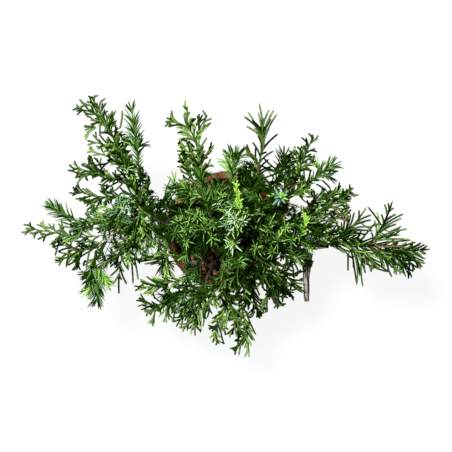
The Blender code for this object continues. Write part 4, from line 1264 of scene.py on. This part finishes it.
for *place, height in LONE_CORDS:
    root, tip = seen(*place[:2], height), seen(*place[2:], height + rng.uniform(-6, 2))
    add_stem(root, 0.7)
    bend = unit(np.cross(tip - root, UP)) * rng.uniform(-0.1, 0.1) * np.linalg.norm(tip - root)
    add_cord(root, (root + tip) / 2 + bend, tip, 1.0, 1 + (rng.random() < 0.3))
for *place, count, length, half_width, tone, tilt in STARS:
    top = seen(*place)
    # each star's stem carries needles in the deep tone: painted shade under the star
    clothe_with_needles(add_stem(top, 0.8, UP)[:-1], DEEP, 0.3, SHORT_NEEDLE)
    axis = unit(UP + rng.normal(0, 0.22, 3))
    roll = rng.uniform(0, math.tau)
    whorls = max(3, round(count / 2))
    for share in np.arange(whorls) / (whorls - 1):
        out = unit(np.cross(axis, (0.3, 1, 0.2)))
        for leaf in range(3):
            outward = spin(out, axis, roll + leaf * math.tau / 3 + rng.normal(0, 0.22))
            heading = leaning(axis, outward, tilt * (1.05 - 0.75 * share) + rng.normal(0, 0.1))
            add_needle(top + axis * (share - 1) * 5, heading, np.cross(axis, outward),
                       length * (1.05 - 0.45 * share) * rng.uniform(0.7, 1.15),
                       half_width * rng.uniform(0.75, 1.0), tone if rng.random() < 0.7 else BRIGHT)
        roll += math.tau / 6 + rng.normal(0, 0.15)


# The leaves
# Waxy evergreen leaves, joined by kind and tone. A cord is a four-sided strand that swells and
# narrows with its scale leaves and ends in a lighter growing tip; a needle is keeled below.
# The shade tones are painted shade: near-black greens without gloss.
CORD_TONES = {
    # two greens of the cord, two of its tip, and its gloss
    "shade": ("051000", "0A1E00", "081800", "123000", 0.0),
    "deep": ("122A00", "224400", "1C3C00", "345C08", 0.06),
    "green": ("2E4A12", "54702A", "466818", "749244", 0.24),
    "bright": ("4C741C", "7CA23C", "6C9638", "A6CE58", 0.34),
    "lime": ("669A2A", "96C642", "88BC3C", "BAE45A", 0.36),
}
NEEDLE_TONES = {
    # two greens and the gloss
    "deep": ("0C2400", "1E4200", 0.06),
    "green": ("385F1E", "648E42", 0.24),
    "bright": ("689A3C", "A0CC62", 0.34),
    "blue": ("3E6C50", "86B094", 0.36),
    "pale": ("8CB68A", "CEE8CA", 0.36),
    "yellow": ("7CAE32", "B4DE5C", 0.36),
}
BODY_GIRTH = np.linspace(0.99, 0.88, 9)
TIP_GIRTH = np.array((0.94, 0.95, 0.76, 0.28))
BODY_ENDS, TIP_BEGINS = 0.83, 0.8
SWELL, NECK = 1.06, 0.95
NEEDLE_STEPS = np.array((0, 0.4, 0.8, 1))[None, :, None]
NEEDLE_WIDTHS = np.array((0.8, 1.0, 0.75, 0.12))[None, :, None]
NEEDLE_BEND = 0.05
KEEL_DEPTH, RIB_HEIGHT = 1.3, 0.3


def leafy(name, deep, bright, gloss, roughness, pattern_mm):
    """A waxy evergreen leaf: two near greens in slow patches along the shoots, with a soft gloss."""
    material = new_material(name)
    tone = mixed(material, ranged(material, pattern(material, pattern_mm, 2), 0.32, 0.68), deep, bright)
    finish(material, {"Base Color": tone, "Roughness": roughness, "IOR": 1.45, "Specular IOR Level": gloss})
    return material


def add_cords(name, rows, begin, end, girth, material):
    """Joins one part of all the cords of a tone, from one share of their length to another."""
    start, heading, bend, length, thick = np.split(rows[:, None, :11], (3, 6, 9, 10), axis=2)
    share = np.linspace(begin, end, len(girth))[None, :, None]
    lines = start + length * (heading * share + bend * share**2)
    wide = np.where(np.arange(len(girth)) % 2 == 0, SWELL, NECK)
    radii = np.empty((len(rows), len(girth), 4))
    radii[..., 0::2] = (girth * wide)[None, :, None]
    radii[..., 1::2] = (girth * (SWELL + NECK - wide))[None, :, None]
    points, _ = tubes(lines, radii * thick, 4)
    ends = np.arange(points[..., 0].size).reshape(points.shape[:3])[:, -1]
    add_piece(name, points.reshape(-1, 3), np.vstack([skin(points), ends]), material)


cords = np.array(cords)
for tone, (name, (low, high, tip_low, tip_high, gloss)) in enumerate(CORD_TONES.items()):
    rows = cords[cords[:, -1] == tone]
    cord_finish = leafy("scale_leaf_cords_" + name, low, high, gloss, 0.42, 5)
    add_cords("cords_" + name, rows, 0, BODY_ENDS, BODY_GIRTH, cord_finish)
    tip_finish = leafy("scale_leaf_tips_" + name, tip_low, tip_high, gloss, 0.36, 5)
    add_cords("tips_" + name, rows, TIP_BEGINS, 1, TIP_GIRTH, tip_finish)
needles = np.array(needles)
for tone, (name, (low, high, gloss)) in enumerate(NEEDLE_TONES.items()):
    rows = needles[needles[:, -1] == tone]
    start, heading, side, length, half_width = np.split(rows[:, None, :11], (3, 6, 9, 10), axis=2)
    face_up = np.cross(side, heading)
    width = NEEDLE_WIDTHS * half_width
    middle = start + heading * length * NEEDLE_STEPS + face_up * (NEEDLE_STEPS**2) * length * NEEDLE_BEND
    points = np.stack([middle - side * width, middle - face_up * width * KEEL_DEPTH, middle + side * width,
                       middle + face_up * width * RIB_HEIGHT], 2)
    needle_finish = leafy("awl_needles_" + name, low, high, gloss, 0.34, 2.5)
    add_piece("needles_" + name, points.reshape(-1, 3), skin(points), needle_finish)
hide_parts(*["foliage_" + name for name in LEADERS])


# The twigs
# Leaders keep a thin brown bark on their older half and a green skin beyond it; side twigs are
# green throughout. A few old twigs have dropped their leaves and stand dry and tan.
GREEN_FROM = 10
BARE_TWIG_STEPS = 24
BARE_TWIG_GIRTH = 0.62
SIDE_TWIG_STEPS = 5
SIDE_TWIG_TAPER = 0.75


def add_twigs(name, lines, radii, sides, material):
    """Joins round twigs into one piece, and gives it back with its points."""
    points = tubes(lines, radii, sides)[0]
    return add_piece(name, points.reshape(-1, 3), skin(points), material), points


brown_twig = new_material("brown_twig_bark")
# A twig's first bark is thin, dry and red-brown, with fine flaking about 0.8 mm wide.
flaky = mixed(brown_twig, pattern(brown_twig, 0.8, 4), "2A2110", "5E5028")
finish(brown_twig, {"Base Color": flaky, "Roughness": 0.85})
green_twig = leafy("green_twig_skin", "24380E", "3E5818", 0.15, 0.6, 1.5)
dry_twig = fibrous("dry_tan_twig_bark", "3A2A14", "7A6238", "B09868", 0.9, 0.85, 0.56)
lines, radii = [np.array(part) for part in zip(*leader_lines)]
add_twigs("leader_twigs_brown", lines[:, :GREEN_FROM + 1], radii[:, :GREEN_FROM + 1], 8, brown_twig)
courses = []
for _, _, course in BARE_TWIGS:
    course = [seen(*place) for place in np.reshape(course, (-1, 3))]
    parent, _ = nearest_wood(course[0])
    root = parent[distances(parent, course[0]).argmin()]
    courses.append(smooth_line([root, *course], BARE_TWIG_STEPS))
thickness = np.array([np.linspace(root, tip, BARE_TWIG_STEPS) for root, tip, _ in BARE_TWIGS])
piece, points = add_twigs("bare_twigs", np.array(courses), thickness * BARE_TWIG_GIRTH, 8, dry_twig)
keep_grain(piece, points)
add_twigs("leader_twigs_green", lines[:, GREEN_FROM:], radii[:, GREEN_FROM:], 8, green_twig)
lines = np.array([smooth_line(line, SIDE_TWIG_STEPS) for line, _ in sprigs])
radii = np.array([np.linspace(thick, thick * SIDE_TWIG_TAPER, SIDE_TWIG_STEPS) for _, thick in sprigs])
add_twigs("side_twigs", lines, radii, 4, green_twig)


# The lights
# One wide soft box straight above, a little to the back left, and an even white room round it.
ROOM_LIGHT, ROOM_SEEN = 0.05, 0.98
BOX_PLACE, BOX_AIM = Vector((-0.35, 0.45, 2.2)), Vector((0, 0, 0.2))
BOX_WIDTH, BOX_POWER = 0.5, 92
WHITE = (1, 1, 1, 1)

room = bpy.data.worlds.new("white_room")
room.use_nodes = True
faint = add_node(room, "Background", {"Color": WHITE, "Strength": ROOM_LIGHT})
wall = add_node(room, "Background", {"Color": WHITE, "Strength": ROOM_SEEN})
choice = add_node(room, "MixShader", {0: add_node(room, "LightPath", {}, "Is Camera Ray"), 1: faint, 2: wall})
set_up(room, room.node_tree.nodes["World Output"], {"Surface": choice})
bpy.context.scene.world = room
light = bpy.data.lights.new("top_box", "AREA")
light.shape = "DISK"
light.size = BOX_WIDTH
light.energy = BOX_POWER
lamp = add_object("top_box", light)
lamp.location = BOX_PLACE
lamp.rotation_euler = (BOX_AIM - BOX_PLACE).to_track_quat("-Z", "Y").to_euler()
bpy.context.scene.view_settings.view_transform = "Standard"

low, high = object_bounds()
